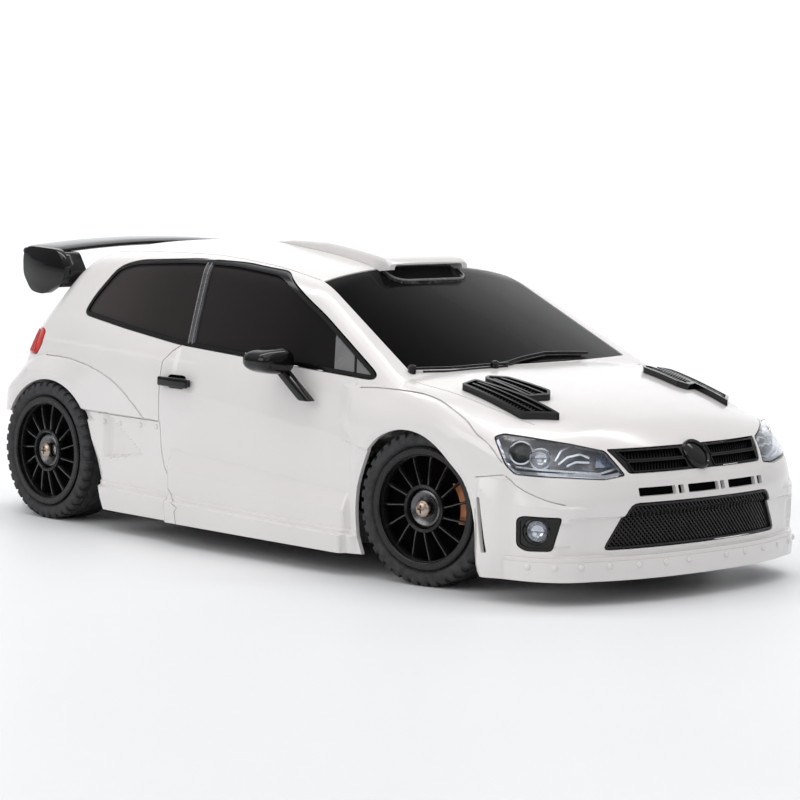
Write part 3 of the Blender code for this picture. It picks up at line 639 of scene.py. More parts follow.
def front_flare(x, z, door):
    """How far the front arch stands out, with a facet cut under its rear end."""
    radius, angle = polar(x, z, FRONT_ARCH)
    seam = fair(angle, FRONT_SEAM)
    over = rise_between(radius, seam, fair(angle, FRONT_CREST))
    back = np.clip((x - 43.6) / 8, 0, 1)
    step = 0.45 * turn_on(seam - radius, 0.25) * turn_on(x - 46, 4)
    flare = step + (FRONT_FLARE - door - 0.45) * np.minimum(over, back)
    low_swell = (FRONT_FLARE - door) * turn_on(27 - radius, 8)
    under = turn_on(z - 31.6 + 0.2 * (x - 44), 0.5)
    bumper = turn_on(z - 27.3, 0.5)
    rearward = under * flare + (1 - under) * (FRONT_FLARE - door) * np.clip((x - 48.8) / 1.4, 0, 1) * 0.55
    forward = bumper * flare + (1 - bumper) * low_swell
    return np.where(x < FRONT_ARCH, rearward, forward)


def nose(y, z):
    line = fair(z, [(0, 117), (12, 117.2), (22, 117.4), (28.4, 115.6), (33.6, 112.9), (40, 108)])
    return line - 5.0 * (y / 40) ** 2 - 4.6 * (y / 40) ** 4


def tail(y, z):
    line = fair(z, [(0, -99), (12, -103), (24, -104), (32, -103.4), (37, -98), (42, -95),
                    (48, -91), (54, -85.6), (60, -79.8), (66, -73.5), (71, -67.5), (76, -61)])
    return line + 5.5 * (y / 40) ** 2 + 6.0 * (y / 40) ** 4


SHELF_SEAM = [(88, 27.2), (97.1, 28.1), (99.6, 26.2), (104.2, 24.1), (108.5, 22.5), (111, 21.7),
              (118, 21.6)]
SHELF_RIDGE = [(88, 26.9), (92, 25.2), (93.8, 23.3), (96.7, 22.2), (107.2, 21.5), (118, 21.4)]


def features(x, y, z):
    """Small offsets outwards over the bumpers."""
    wide = np.abs(y)
    seam = fair(x, SHELF_SEAM)
    ridge = fair(x, SHELF_RIDGE)
    shelf = 0.75 * np.clip((seam - z) / np.maximum(seam - ridge, 0.12), 0, 1)
    shelf = shelf * turn_on(x - 91, 2.5) * turn_on(wide - 33.5, 6)
    boundary = 36.4 + 0.27 * (19.5 - z)
    recess = (turn_on(19.3 - z, 0.5) * turn_on(z - 10.9, 0.5) * turn_on(boundary - wide, 1.3)
              * turn_on(x - 99, 4))
    brow = 0.10 * np.clip(z - 26.8, 0, 3) * turn_on(x - 106, 6)
    plate_bay = (1.1 * turn_on(15 - wide, 0.5) * turn_on(z - 17, 0.5) * turn_on(27 - z, 0.5)
                 * turn_on(-90 - x, 4))
    rear_step = 0.8 * turn_on(33.2 - z, 0.4) * turn_on(-96 - x, 6)
    return shelf - recess - brow - plate_bay + rear_step


def depth_inside(x, y, z):
    sides = half_width(x, z) - np.abs(y)
    body = blend_low(sides, (top_height(x, y) - z) * 0.93, 2.6)
    body = blend_low(body, nose(y, z) - x, 4)
    return blend_low(body, x - tail(y, z), 5) + features(x, y, z)


def outermost(origins, directions):
    """Where rays from inside the car leave it, by halving."""
    near = np.zeros(len(origins))
    far = np.full(len(origins), 160.0)
    for _ in range(30):
        middle = (near + far) / 2
        x, y, z = (origins + directions * middle[:, None]).T
        inside = depth_inside(x, y, z) > 0
        near = np.where(inside, middle, near)
        far = np.where(inside, far, middle)
    return origins + directions * near[:, None]


def outward(points):
    """Unit normals of the surface's field."""
    step = 0.04
    slope = []
    for axis in range(3):
        shift = np.zeros(3)
        shift[axis] = step
        slope.append(depth_inside(*(points - shift).T) - depth_inside(*(points + shift).T))
    normal = np.array(slope).T
    return normal / np.maximum(np.linalg.norm(normal, axis=1, keepdims=True), 1e-9)


def read(items, field, width=1, kind=float):
    """A field of every vertex, loop or face of a mesh, as rows of numbers."""
    values = np.zeros(len(items) * width, kind)
    items.foreach_get(field, values)
    return values.reshape(-1, width) if width > 1 else values


def follow_form(mesh):
    """Give the faces on the outer surface its exact normals, so that gloss runs smoothly over them."""
    points = read(mesh.vertices, "co", 3)
    near = np.abs(depth_inside(*points.T)) < 0.9
    smooth = outward(points)
    owner = read(mesh.loops, "vertex_index", kind=int)
    sizes = read(mesh.polygons, "loop_total", kind=int)
    face = np.repeat(read(mesh.polygons, "normal", 3), sizes, axis=0)
    chosen = read(mesh.corner_normals, "vector", 3)
    fits = near[owner] & ((smooth[owner] * face).sum(1) > 0.9)
    chosen[fits] = smooth[owner][fits]
    mesh.normals_split_custom_set(chosen.tolist())


RIBS, FAN_RIBS = 250, 44
REAR_FAN, FRONT_FAN = -78.0, 96.0
EYE = 25.0


def rib(station, heading):
    """Points from the sill up to the centre line, seen from a station towards a heading in plan."""
    out = np.array([-math.cos(heading), -math.sin(heading), 0])
    shoulder = fair(station, [(-78, 48), (-60, 54), (20, 54), (40, 43), (58, 28), (70, 23), (96, 18)])
    heights = np.concatenate([np.linspace(SILL, 9, 8, endpoint=False),
                              np.linspace(9, 12.8, 18, endpoint=False),
                              np.linspace(12.8, EYE, 24, endpoint=False)])
    lifts = np.concatenate([np.linspace(0, shoulder, 72, endpoint=False), np.linspace(shoulder, 90, 46)])
    lifts = np.radians(lifts)
    starts = np.zeros((len(heights) + len(lifts), 3))
    starts[:, 0] = station
    starts[:len(heights), 2] = heights
    starts[len(heights):, 2] = EYE
    ways = np.tile(out, (len(starts), 1))
    ways[len(heights):] = out * np.cos(lifts)[:, None] + np.array([0, 0, 1]) * np.sin(lifts)[:, None]
    return starts, ways


def shell_surface():
    """The right half of the outer surface as a loft of ribs, open at the centre and below."""
    ribs = [rib(REAR_FAN, a) for a in np.linspace(0, math.pi / 2, FAN_RIBS, endpoint=False)]
    ribs += [rib(x, math.pi / 2) for x in np.linspace(REAR_FAN, FRONT_FAN, RIBS, endpoint=False)]
    ribs += [rib(FRONT_FAN, a) for a in np.linspace(math.pi / 2, math.pi, FAN_RIBS)]
    starts = np.concatenate([r[0] for r in ribs])
    ways = np.concatenate([r[1] for r in ribs])
    grid = outermost(starts, ways).reshape(len(ribs), -1, 3)
    grid[:, -1, 1] = 0
    grid[[0, -1], :, 1] = 0
    rows = grid.shape[1]
    index = np.arange(len(ribs) * rows).reshape(len(ribs), rows)
    quads = np.stack([index[:-1, :-1], index[1:, :-1], index[1:, 1:], index[:-1, 1:]], axis=-1).reshape(-1,
                                                                                                        4)
    mesh = bpy.data.meshes.new("shell_surface")
    mesh.from_pydata(grid.reshape(-1, 3).tolist(), [], quads.tolist())
    shape = bmesh.new()
    shape.from_mesh(mesh)
    bmesh.ops.remove_doubles(shape, verts=shape.verts, dist=0.004)
    shape.to_mesh(mesh)
    return mesh


SURFACE = shell_surface()


def both_sides():
    made = temporary(SURFACE)
    mirror = made.modifiers.new("both_sides", "MIRROR")
    mirror.use_axis = (False, True, False)
    mirror.merge_threshold = 0.01
    return made


def skin(low, high):
    """The shell's surface made solid from low to high, measured outwards."""
    made = both_sides()
    solid = made.modifiers.new("thickness", "SOLIDIFY")
    solid.thickness = high - low
    solid.offset = (high + low) / (high - low)
    return settle(made)


def whole_surface():
    """The whole surface's points, their normals and its faces, with triangles padded to four."""
    mesh = settle(both_sides())
    points = read(mesh.vertices, "co", 3)
    faces = np.array([(*f.vertices, -1)[:4] for f in mesh.polygons])
    return points, outward(points), faces


POINTS, NORMALS, FACES = whole_surface()


def pinches(faces):
    """Points where two parts of a patch's border touch."""
    ends = np.roll(np.where(faces < 0, faces[:, :1], faces), -1, axis=1)
    pairs = np.stack([faces, ends], axis=-1).reshape(-1, 2)
    pairs = np.sort(pairs[(pairs[:, 0] >= 0) & (pairs[:, 0] != pairs[:, 1])], axis=1)
    edges, times = np.unique(pairs, axis=0, return_counts=True)
    points, meets = np.unique(edges[times == 1], return_counts=True)
    return points[meets > 2]


def sheet(low, high, least, most):
    """A closed piece of the skin inside a box, from low to high, measured outwards."""
    chosen = ((POINTS > least) & (POINTS < most)).all(axis=1)
    while True:
        faces = FACES[(chosen[FACES] & (FACES >= 0)).any(axis=1)]
        pinched = pinches(faces)
        if not len(pinched):
            break
        chosen[pinched] = True
    used = np.unique(faces[faces >= 0])
    index = np.full(len(POINTS), -1)
    index[used] = np.arange(len(used))
    count = len(used)
    corners = [[index[v] for v in face if v >= 0] for face in faces.tolist()]
    edges = {}
    for face in corners:
        for a, b in zip(face, face[1:] + face[:1]):
            edges[(a, b)] = edges.get((a, b), 0) + 1
    sides = [(b, a, a + count, b + count) for a, b in edges if (b, a) not in edges]
    under = [[v + count for v in reversed(face)] for face in corners]
    shell = np.concatenate([POINTS[used] + NORMALS[used] * high, POINTS[used] + NORMALS[used] * low])
    mesh = bpy.data.meshes.new("sheet")
    mesh.from_pydata(shell.tolist(), [], corners + under + sides)
    return mesh


def layer(low, high, outlines, near, far, plane):
    """A piece of the skin inside outlines."""
    prism = plate(outlines, near, far, plane)
    ends = np.array([v.co for v in prism.vertices])
    return within(sheet(low, high, ends.min(axis=0) - 2, ends.max(axis=0) + 2), prism)


def inset(outline, distance):
    """Move each side of an anticlockwise outline inwards."""
    points = [Vector(p) for p in outline]
    shifted = []
    for before, here, after in zip(points[-1:] + points[:-1], points, points[1:] + points[:1]):
        first = (here - before).normalized()
        second = (after - here).normalized()
        inward = Vector((-first.y - second.y, first.x + second.x))
        shifted.append(tuple(here + inward * distance / (1 + first.dot(second))))
    return shifted


def border(low, high, outline, width, near, far, plane):
    """A band of the skin along the inside of an outline."""
    inner = plate([inset(outline, width)], near - 2, far + 2, plane)
    return cut(layer(low, high, [outline], near, far, plane), inner)


def ribbon(points, width):
    """The outline of a narrow band along a line."""
    line = [Vector(p) for p in points]
    left, right = [], []
    for i, here in enumerate(line):
        way = (line[min(i + 1, len(line) - 1)] - line[max(i - 1, 0)]).normalized()
        side = Vector((-way.y, way.x)) * width / 2
        left.append(tuple(here + side))
        right.append(tuple(here - side))
    return right + left[::-1]


def rounded(outline, radius, steps=4):
    """An outline with its corners replaced by short curves."""
    points = [Vector(p) for p in outline]
    made = []
    for before, here, after in zip(points[-1:] + points[:-1], points, points[1:] + points[:1]):
        start = here + (before - here).normalized() * min(radius, (before - here).length * 0.45)
        end = here + (after - here).normalized() * min(radius, (after - here).length * 0.45)
        for t in np.linspace(0, 1, steps):
            made.append(tuple(start * (1 - t) ** 2 + here * 2 * t * (1 - t) + end * t * t))
    return made


def on_side(outline, side):
    """An outline drawn for the right side, on either side of the car."""
    return outline if side < 0 else swap(outline)


def swap(outline):
    """The same outline on the other side of the car, still anticlockwise."""
    return [(-a, b) for a, b in reversed(outline)]


# Where cutters and layers start and end across a plane, and the plane

AHEAD = (90, 130, "front")
BEHIND = (-110, -55, "front")
OVER_CABIN = (40, 90, "top")
OVER_BONNET = (20, 90, "top")
ACROSS = (-60, 60, "side")


def beside(side, inner, outer):
    """The reach of a cutter through one flank."""
    return *sorted((-side * inner, -side * outer)), "side"


# Outlines, anticlockwise in their plane's two directions

SIDE_GLASS = rounded([(-59.2, 53.2), (-17, 48.4), (20, 46.6), (53, 45.1), (54.2, 46.6), (30.5, 58.7),
                      (10, 67.6), (-6, 69), (-22, 69.2), (-44, 67.8), (-50.8, 66), (-57.2, 58)], 3.0, 5)
HEADLIGHT = rounded([(34.9, 36.1), (37.5, 30.3), (39.7, 28.3), (50.5, 27.9), (59.3, 27.3), (64.1, 28),
                     (62.1, 30.4), (59.4, 33.3), (51.8, 34.9), (43.6, 36.1), (37.2, 36.8)], 0.8)
TAIL_LIGHT = rounded([(-99, 41), (-77.5, 41.6), (-75.2, 44.6), (-74.2, 48), (-76.5, 48.9), (-97, 48.9)],
                     0.7)
REAR_WINDOW = rounded([(-29, 54), (29, 54), (24.5, 65.5), (-24.5, 65.5)], 3.0)
UPPER_GRILLE = rounded([(-21.9, 28.4), (21.9, 28.4), (24.7, 33.6), (-24.7, 33.6)], 0.7)
LOWER_GRILLE = rounded([(-28.9, 11.9), (28.9, 11.9), (22.6, 22.2), (-22.6, 22.2)], 1.8)
FOG_LAMP = rounded([(40.3, 13), (42.3, 11.9), (48.2, 12.1), (50.3, 19.6), (41.5, 19.7), (40.2, 18.9)], 0.9)


def windscreen_outline():
    lower = [(62.3 - 0.0038 * y * y, y) for y in np.linspace(-36.2, 36.2, 24)]
    return lower + [(21.4, 30.3), (20.6, 13), (20.6, -13), (21.4, -30.3)]


SLOTS = [(-20.6, -10.0), (-9.2, -7.4), (-6.1, 3.9), (4.6, 6.1), (7.4, 17.6), (18.6, 20.6)]


def groove(where, *lines, width=0.34):
    """Panel seams: narrow cutters that reach a little way into the skin."""
    return layer(-SEAM_DEPTH, 0.8, [ribbon(line, width) for line in lines], *where)


DOOR_SEAM = [(-15.2, 48.9), (-18.6, 46.8), (-21.2, 44.3), (-21.5, 36), (-21.3, 29), (-20.6, 22.5),
             (-19.3, 18.5), (-16, 14), (-12.4, 10.2), (-10.6, 9.4), (-11.6, 8.2), (-11.0, 4)]
FLARE_SEAM_REAR = flowing([(-72, 42.0), (-66.5, 42.0), (-60.5, 41.8), (-55, 41.2), (-46.3, 39.6),
                           (-38.6, 37.1), (-31.4, 32.7), (-27.2, 29.6)])
FLARE_SEAM_FRONT = flowing([(49.6, 43.4), (56.1, 43.8), (61.7, 43.8), (69.1, 43.4), (74.9, 42.3),
                            (80.7, 40.3), (85.1, 38.4), (88.7, 36.2), (92.4, 34.4), (95, 32.6),
                            (96.8, 30.8)])


SHELF_LINE = [(97.9, 28.0), (99.8, 26.2), (102, 25.0), (104.2, 24.1), (107, 23.0), (109.5, 22.2)]
TAILGATE_SEAM = [(-33, 52), (-33.5, 40), (-30, 34.5), (30, 34.5), (33.5, 40), (33, 52)]
BUMPER_SLIT = [(91.1, 22.8), (92.3, 23), (94.5, 10.9), (93.1, 10.7)]
BONNET_SEAM = [(62.2, 36.4), (60.6, 38.3), (64, 38.6), (70, 38.1), (76, 37.4), (84, 36.4), (91.8, 35),
               (96, 33.9)]
ROOF_SEAM = [(-66, 26.8), (-40, 28.6), (-15, 29.3), (5, 29.6), (20.5, 30.1)]


def body_shell():
    slots = [rounded([(a, SLOT_LOW), (b, SLOT_LOW), (b, SLOT_HIGH), (a, SLOT_HIGH)], 0.3, 3)
             for a, b in SLOTS]
    openings = [plate([outline], *ACROSS) for outline in (FRONT_OPENING, REAR_OPENING, SIDE_GLASS)]
    openings += [
        plate([REAR_WINDOW], -110, -70, "front"),
        plate([UPPER_GRILLE], *AHEAD),
        plate([LOWER_GRILLE], *AHEAD),
        plate(slots, *AHEAD),
        plate([windscreen_outline()], *OVER_CABIN),
        block((40, 120, 8), (118.2, 0, 6.6)),
    ]
    for side in SIDES.values():
        flank = beside(side, 30, 60)
        bonnet, roof = ([(a, side * b) for a, b in seam] for seam in (BONNET_SEAM, ROOF_SEAM))
        openings += [
            plate([on_side(HEADLIGHT, side)], 88, 108, corner_plane(side)),
            plate([on_side(FOG_LAMP, side)], 88, 125, corner_plane(side)),
            plate([TAIL_LIGHT], *beside(side, 26, 60)),
            plate([rounded(BUMPER_SLIT, 0.45)[::-1]], *flank),
            groove(flank, DOOR_SEAM),
            groove(flank, FLARE_SEAM_REAR, [(-47.5, PANEL_LINE), (-21.8, PANEL_LINE)], width=0.26),
            groove(flank, FLARE_SEAM_FRONT, [(90.3, 27.1), (97.6, 28.2)], width=0.26),
            groove(flank, SHELF_LINE, width=0.22),
            groove(OVER_BONNET, bonnet, width=0.28),
            groove((55, 90, "top"), roof, width=0.28),
        ]
    openings.append(groove((-120, -70, "front"), TAILGATE_SEAM))
    trim("shell_body", cut(skin(-SKIN, 0), *openings), "shell", "white", "body_shell", form=True)


body_shell()


def touch(plane, a, b, start):
    """The point of the surface over a place in a plane, and the surface's direction there."""
    basis = basis_of(plane)
    origin = np.array([basis @ Vector((a, b, start))])
    point = outermost(origin, np.array([basis @ Vector((0, 0, 1))]))
    return Vector(point[0]), Vector(outward(point)[0])


# Windows

def side_windows(name, side):
    ends = beside(side, 20, 60)
    pane = inset(SIDE_GLASS, 0.35)
    trim("side_glass_" + name, layer(-1.0, -0.4, [pane], *ends), "glass", "glass", "side_window_" + name,
         form=True)
    trim("side_trim_" + name, border(-0.7, 0.12, inset(SIDE_GLASS, 0.3), 0.85, *ends), "glass", "gloss",
         form=True)
    inner = plate([inset(SIDE_GLASS, 0.8)], *ends)
    pillar = layer(-0.45, 0.02, [[(-13.6, 48), (-11.3, 48), (-15.8, 69), (-18.1, 69)]], *ends)
    trim("door_pillar_" + name, within(pillar, inner), "glass", "pillar", form=True)
    lines = [ribbon([(-13.4, 48), (-17.9, 69)], 0.35), ribbon([(-12, 48), (-16.5, 69)], 0.3)]
    edges = layer(-0.3, 0.16, lines, *ends)
    trim("door_pillar_edges_" + name, within(edges, inner), "glass", "bright", form=True)
    quarter = [(40.4, 44), (46.9, 44), (44.1, 50.6), (36.6, 56), (36.2, 54)]
    small = [(47.9, 44), (55, 44), (55, 47), (45, 50.6)]
    lights = layer(-0.45, -0.1, [quarter, small], *ends)
    trim("quarter_light_" + name, within(lights, inner), "glass", "strip", form=True)


def windscreen():
    outline = windscreen_outline()
    trim("windscreen_pane", layer(-1.0, -0.12, [inset(outline, 0.3)], *OVER_CABIN), "glass", "windscreen",
         "windshield", form=True)
    tongue = [(21, -12.4), (26.2, -12.2), (27.8, -9.4), (28.1, 0.1), (27.8, 9.4), (26.2, 12.2), (21, 12.4)]
    lip = layer(-0.2, 0.5, [rounded(tongue, 1.5)], *OVER_CABIN)
    trim("scoop_tongue", lip, "glass", "gloss", form=True)
    # A raised band round the tongue's edge, coloured lighter grey to paint the edge's highlight
    rim = border(-0.2, 0.75, rounded(tongue, 1.5), 0.45, *OVER_CABIN)
    trim("scoop_tongue_rim", rim, "glass", "strip", form=True)
    wipers = ([(58.6, -36.0), (60.6, -28), (63.2, -13.5), (63.6, -9.9)],
              [(63.4, -14.2), (61.2, -4), (59.6, 6), (59.4, 21)])
    for number, path in enumerate(wipers):
        points = []
        for (x0, y0), (x1, y1) in zip(path, path[1:]):
            for t in np.linspace(0, 1, 6, endpoint=False):
                points.append((x0 + (x1 - x0) * t, y0 + (y1 - y0) * t))
        points.append(path[-1])
        high = [(x, y, float(top_height(x, y)) + 0.75) for x, y in points]
        low = [(x + 0.3, y, float(top_height(x + 0.3, y)) + 0.2) for x, y in points[2:-1]]
        arm = join(tube(high, 0.34, 10), tube(low, 0.26, 8))
        hub = placed([(0, -1.2), (0.95, -1.2), (0.95, 0.6), (0.6, 0.95), (0, 1.05)], high[0], (0, 0, 1), 20)
        trim("wiper_{}".format(number), join(arm, hub), "glass", "gloss")


def rear_glass():
    trim("rear_glass", layer(-1.0, -0.3, [inset(REAR_WINDOW, 0.35)], *BEHIND), "glass", "glass",
         "rear_window", form=True)
    ring = border(-0.6, 0.12, inset(REAR_WINDOW, 0.3), 0.9, *BEHIND)
    trim("rear_glass_trim", ring, "glass", "gloss", form=True)


# Lamps

def headlight(name, side):
    plane = corner_plane(side)
    shape = on_side(HEADLIGHT, side)
    where = (80, 112, plane)
    trim("headlight_lens_" + name, layer(-0.7, -0.06, [inset(shape, 0.3)], *where), "lens", "clear",
         "headlight_" + name, form=True)
    trim("headlight_back_" + name, layer(-4.2, -3.5, [inset(shape, 0.3)], *where), "lens", "lamp_back")
    wall = border(-3.8, -0.9, inset(shape, 0.3), 0.55, *where)
    trim("headlight_wall_" + name, wall, "lens", "chrome")
    # The inner bowl comes last here, and the projector stands in it
    bowls = []
    out = Vector((1, side * 0.8, 0.15)).normalized()
    for a, b, radius in ((45.4, 31.9, 2.1), (41.2, 33.1, 2.3)):
        point, _ = touch(plane, -side * a, b, 40)
        bowl = [(radius, 0), (radius + 0.35, 0.1), (radius + 0.35, -2.0), (0, -2.0), (0, -1.6),
                (radius * 0.5, -1.3), (radius * 0.85, -0.7)]
        bowls.insert(0, placed(bowl, point - out * 1.5, out, 32))
    trim("headlight_bowls_" + name, join(*bowls), "lens", "chrome")
    ball = [(0, 0.9), (0.8, 0.72), (1.35, 0.25), (1.5, -0.3), (1.5, -0.8), (0, -0.8)]
    trim("headlight_projector_" + name, placed(ball, point - out * 2.4, out, 28), "lens", "gloss")
    fins = [ribbon(line, 0.42) for line in ([(40.0, 29.9), (47.6, 29.3), (58.2, 28.4), (61.9, 29.3)],
                                            [(48.4, 31.2), (49.7, 33.2), (51.7, 33.9)],
                                            [(49.1, 30.5), (51.1, 31.9), (53.9, 32.4), (55.9, 31.6)],
                                            [(50.9, 30.1), (52.9, 30.9), (55.9, 30.7)])]
    trim("headlight_fins_" + name, layer(-3.6, -1.6, [on_side(fin, side) for fin in fins], *where), "lens",
         "strip_light")
    facet = on_side([(57.2, 29.6), (61.4, 29.4), (60.2, 31.6), (57.6, 32.6)], side)
    trim("headlight_facet_" + name, layer(-3.6, -2.2, [facet], *where), "lens", "facet")


def tail_light(name, side):
    ends = beside(side, 24, 60)
    trim("tail_lens_" + name, layer(-0.9, 0.12, [inset(TAIL_LIGHT, 0.3)], *ends), "red_lens", "red",
         "tail_light_" + name, form=True)
    ridges = [ribbon([(a, 41.8), (a + 1.0, 48.6)], 0.35) for a in np.arange(-97, -77.5, 1.5)]
    raised = within(layer(-0.3, 0.3, ridges, *ends), plate([inset(TAIL_LIGHT, 0.8)], *ends))
    trim("tail_ridges_" + name, raised, "red_lens", "red", form=True)


def fog_lamp(name, side):
    plane = corner_plane(side)
    shape = on_side(FOG_LAMP, side)
    where = (85, 125, plane)
    centre = (-side * 44.7, 16.4)
    hole = arc(centre, 3.05, 0, 352.5, 48)
    body = layer(-2.4, -0.25, [inset(shape, 0.3), hole], *where)
    trim("fog_body_" + name, body, "gloss_black", "gloss", "fog_lamp_" + name, form=True)
    rim = border(-0.6, 0.0, inset(shape, 0.25), 0.55, *where)
    trim("fog_rim_" + name, rim, "gloss_black", "gloss", form=True)
    point, out = touch(plane, *centre, 40)
    ring = [(2.3, 0.15), (2.65, 0.35), (3.0, 0.15), (3.02, -1.6), (2.3, -1.6)]
    trim("fog_ring_" + name, placed(ring, point - out * 0.5, out, 48), "gloss_black", "gloss")
    bowl = [(2.28, -0.2), (2.28, -2.2), (0, -2.2), (0, -1.7), (0.9, -1.6), (1.6, -1.2), (2.1, -0.5)]
    trim("fog_bowl_" + name, placed(bowl, point - out * 0.5, out, 40), "lens", "chrome")
    lens = [(0, 0.35), (1.0, 0.28), (1.8, 0.05), (2.26, -0.3), (2.26, -0.55), (1.7, -0.2), (0.9, 0.05),
            (0, 0.1)]
    trim("fog_lens_" + name, placed(lens, point - out * 0.5, out, 40), "lens", "clear")


# Grilles and front lip

def upper_grille():
    # A near-black sheet behind the grille paints the shade inside its openings
    trim("upper_grille_back", layer(-1.6, -1.15, [inset(UPPER_GRILLE, 0.3)], *AHEAD), "black_plastic",
         "painted_shade", "upper_grille")
    gaps = [rounded(g, 0.25, 3) for g in (
        [(-21.2, 31.4), (-4.7, 31.3), (-4.7, 33.0), (-22.4, 33.05)],
        [(-20.6, 29.0), (-4.4, 29.0), (-4.4, 30.7), (-21.1, 30.75)])]
    gaps += [swap(g) for g in gaps]
    face = layer(-1.3, 0.0, [inset(UPPER_GRILLE, 0.3), *gaps], *AHEAD)
    trim("upper_grille_face", face, "black_plastic", "gloss", form=True)
    rims = [border(-0.5, 0.22, inset(gap, -0.28), 0.3, *AHEAD) for gap in gaps]
    trim("upper_grille_rims", join(*rims), "black_plastic", "gloss", form=True)
    wires = [ribbon([(y, 28.6), (y + 2.6, 33.4)], 0.16) for y in np.arange(-24.3, 22, 0.9)]
    behind = within(layer(-1.2, -0.9, wires, *AHEAD), plate(gaps, *AHEAD))
    trim("upper_grille_mesh", behind, "black_plastic", "satin")
    point, out = touch("front", 0.001, 31.4, 40)
    badge = [(0, 0.55), (1.2, 0.5), (2.3, 0.32), (3.0, 0.1), (3.05, -0.9), (0, -0.9)]
    ring = [(3.0, 0.3), (3.25, 0.62), (3.55, 0.62), (3.75, 0.3), (3.8, -0.9), (3.0, -0.9)]
    trim("nose_blank", placed(badge, point, out, 64), "gloss_black", "gloss")
    trim("nose_ring", placed(ring, point, out, 64), "gloss_black", "gloss")


def slot_back():
    # A near-black sheet behind the bumper slots paints the shade inside them
    behind = [(-21.2, 23.0), (21.2, 23.0), (21.2, 25.9), (-21.2, 25.9)]
    trim("slot_back", layer(-2.2, -1.3, [behind], *AHEAD), "black_plastic", "painted_shade")


def lower_grille():
    opening = plate([inset(LOWER_GRILLE, 0.3)], *AHEAD)
    # A near-black sheet behind the lower grille paints the shade inside its opening
    trim("lower_grille_back", layer(-1.7, -1.45, [inset(LOWER_GRILLE, 0.3)], *AHEAD), "foam", "painted_shade",
         "lower_grille")
    for number, lean in enumerate((1, -1)):
        wires = [ribbon([(y, 11.4), (y + lean * 11.4, 22.8)], 0.34) for y in np.arange(-42, 42.5, 1.15)]
        net = layer(-1.35 + 0.3 * number, -0.95 + 0.3 * number, wires, *AHEAD)
        trim("lower_grille_net_{}".format(number), within(net, opening), "foam", "satin")
    ring = border(-1.3, -0.15, inset(LOWER_GRILLE, 0.3), 0.45, *AHEAD)
    trim("lower_grille_rim", ring, "foam", "satin", form=True)


def front_lip():
    where = (98.3, 130, "front")
    band = layer(-0.9, 0.7, [[(-60, 5.4), (60, 5.4), (60, 9.7), (-60, 9.7)]], *where)
    ledge = layer(-0.9, 0.4, [[(-60, 9.65), (60, 9.65), (60, 10.65), (-60, 10.65)]], *where)
    rivets = []
    for y in (6.2, 13.2, 20.6, 28, 34.6, 39.4, 42.6):
        for side in (-1, 1):
            point, out = touch("front", side * y, 8.7, 40)
            rivets.append(dome(0.75, 0.6, point + out * 0.68, out, 20))
    trim("front_lip_band", union(band, ledge), "shell", "white", "front_lip", form=True)
    trim("front_lip_rivets", join(*rivets), "shell", "white")


def side_rivets():
    heads = []
    for x, z in ((-45.3, 27.2), (-37.6, 27.4), (-29.3, 27.7), (-22.9, 27.8)):
        for side in (-1, 1):
            point, out = touch("side", x, z, 10)
            heads.append(dome(0.7, 0.55, (point.x, -side * point.y, point.z), (out.x, -side * out.y, out.z),
                              16))
    trim("quarter_rivets", join(*heads), "shell", "white")


# Vents, scoop and wing

def hood_vent(name, side):
    outer = [(73.8, 35.1), (92.7, 34.8), (98.2, 27.9), (87.5, 28.2), (73.4, 30.2)]
    inner = [(73.9, 27.9), (88, 28.0), (90.1, 23), (88.2, 21.1), (76.2, 22.7), (73, 25.9)]
    rims, floors, bars = [], [], []
    for outline in (outer, inner):
        shape = anticlockwise(rounded([(a, side * b) for a, b in outline], 0.8))
        rims.append(border(0.12, 1.42, shape, 0.75, *OVER_BONNET))
        floors.append(inset(shape, 0.5))
    for line in ([(75, 32.6), (93.5, 32.0)], [(75, 31.0), (94.5, 30.0)],
                 [(75.5, 24.6), (88.6, 23.6)], [(75.5, 26.4), (88.4, 26.2)]):
        bars.append(anticlockwise(ribbon([(a, side * b) for a, b in line], 0.5)))
    cross = [anticlockwise(ribbon([(a, side * 20), (a + 4, side * 36)], 0.22))
             for a in np.arange(70, 98, 0.95)]
    # A near-black floor under the vent's bars paints the shade inside the vent
    floor = layer(0.12, 0.65, floors, *OVER_BONNET)
    trim("vent_floor_" + name, floor, "black_plastic", "painted_shade", "hood_vent_" + name)
    trim("vent_rim_" + name, bevelled(join(*rims), 0.12, 1, 50), "black_plastic", "gloss")
    inside = plate(floors, *OVER_BONNET)
    trim("vent_bars_" + name, within(layer(0.5, 1.3, bars, *OVER_BONNET), inside), "black_plastic", "gloss")
    trim("vent_mesh_" + name, within(layer(0.5, 0.85, cross, *OVER_BONNET), inside), "black_plastic",
         "satin")


def anticlockwise(outline):
    area = sum(a[0] * b[1] - b[0] * a[1] for a, b in zip(outline, outline[1:] + outline[:1]))
    return outline if area > 0 else outline[::-1]


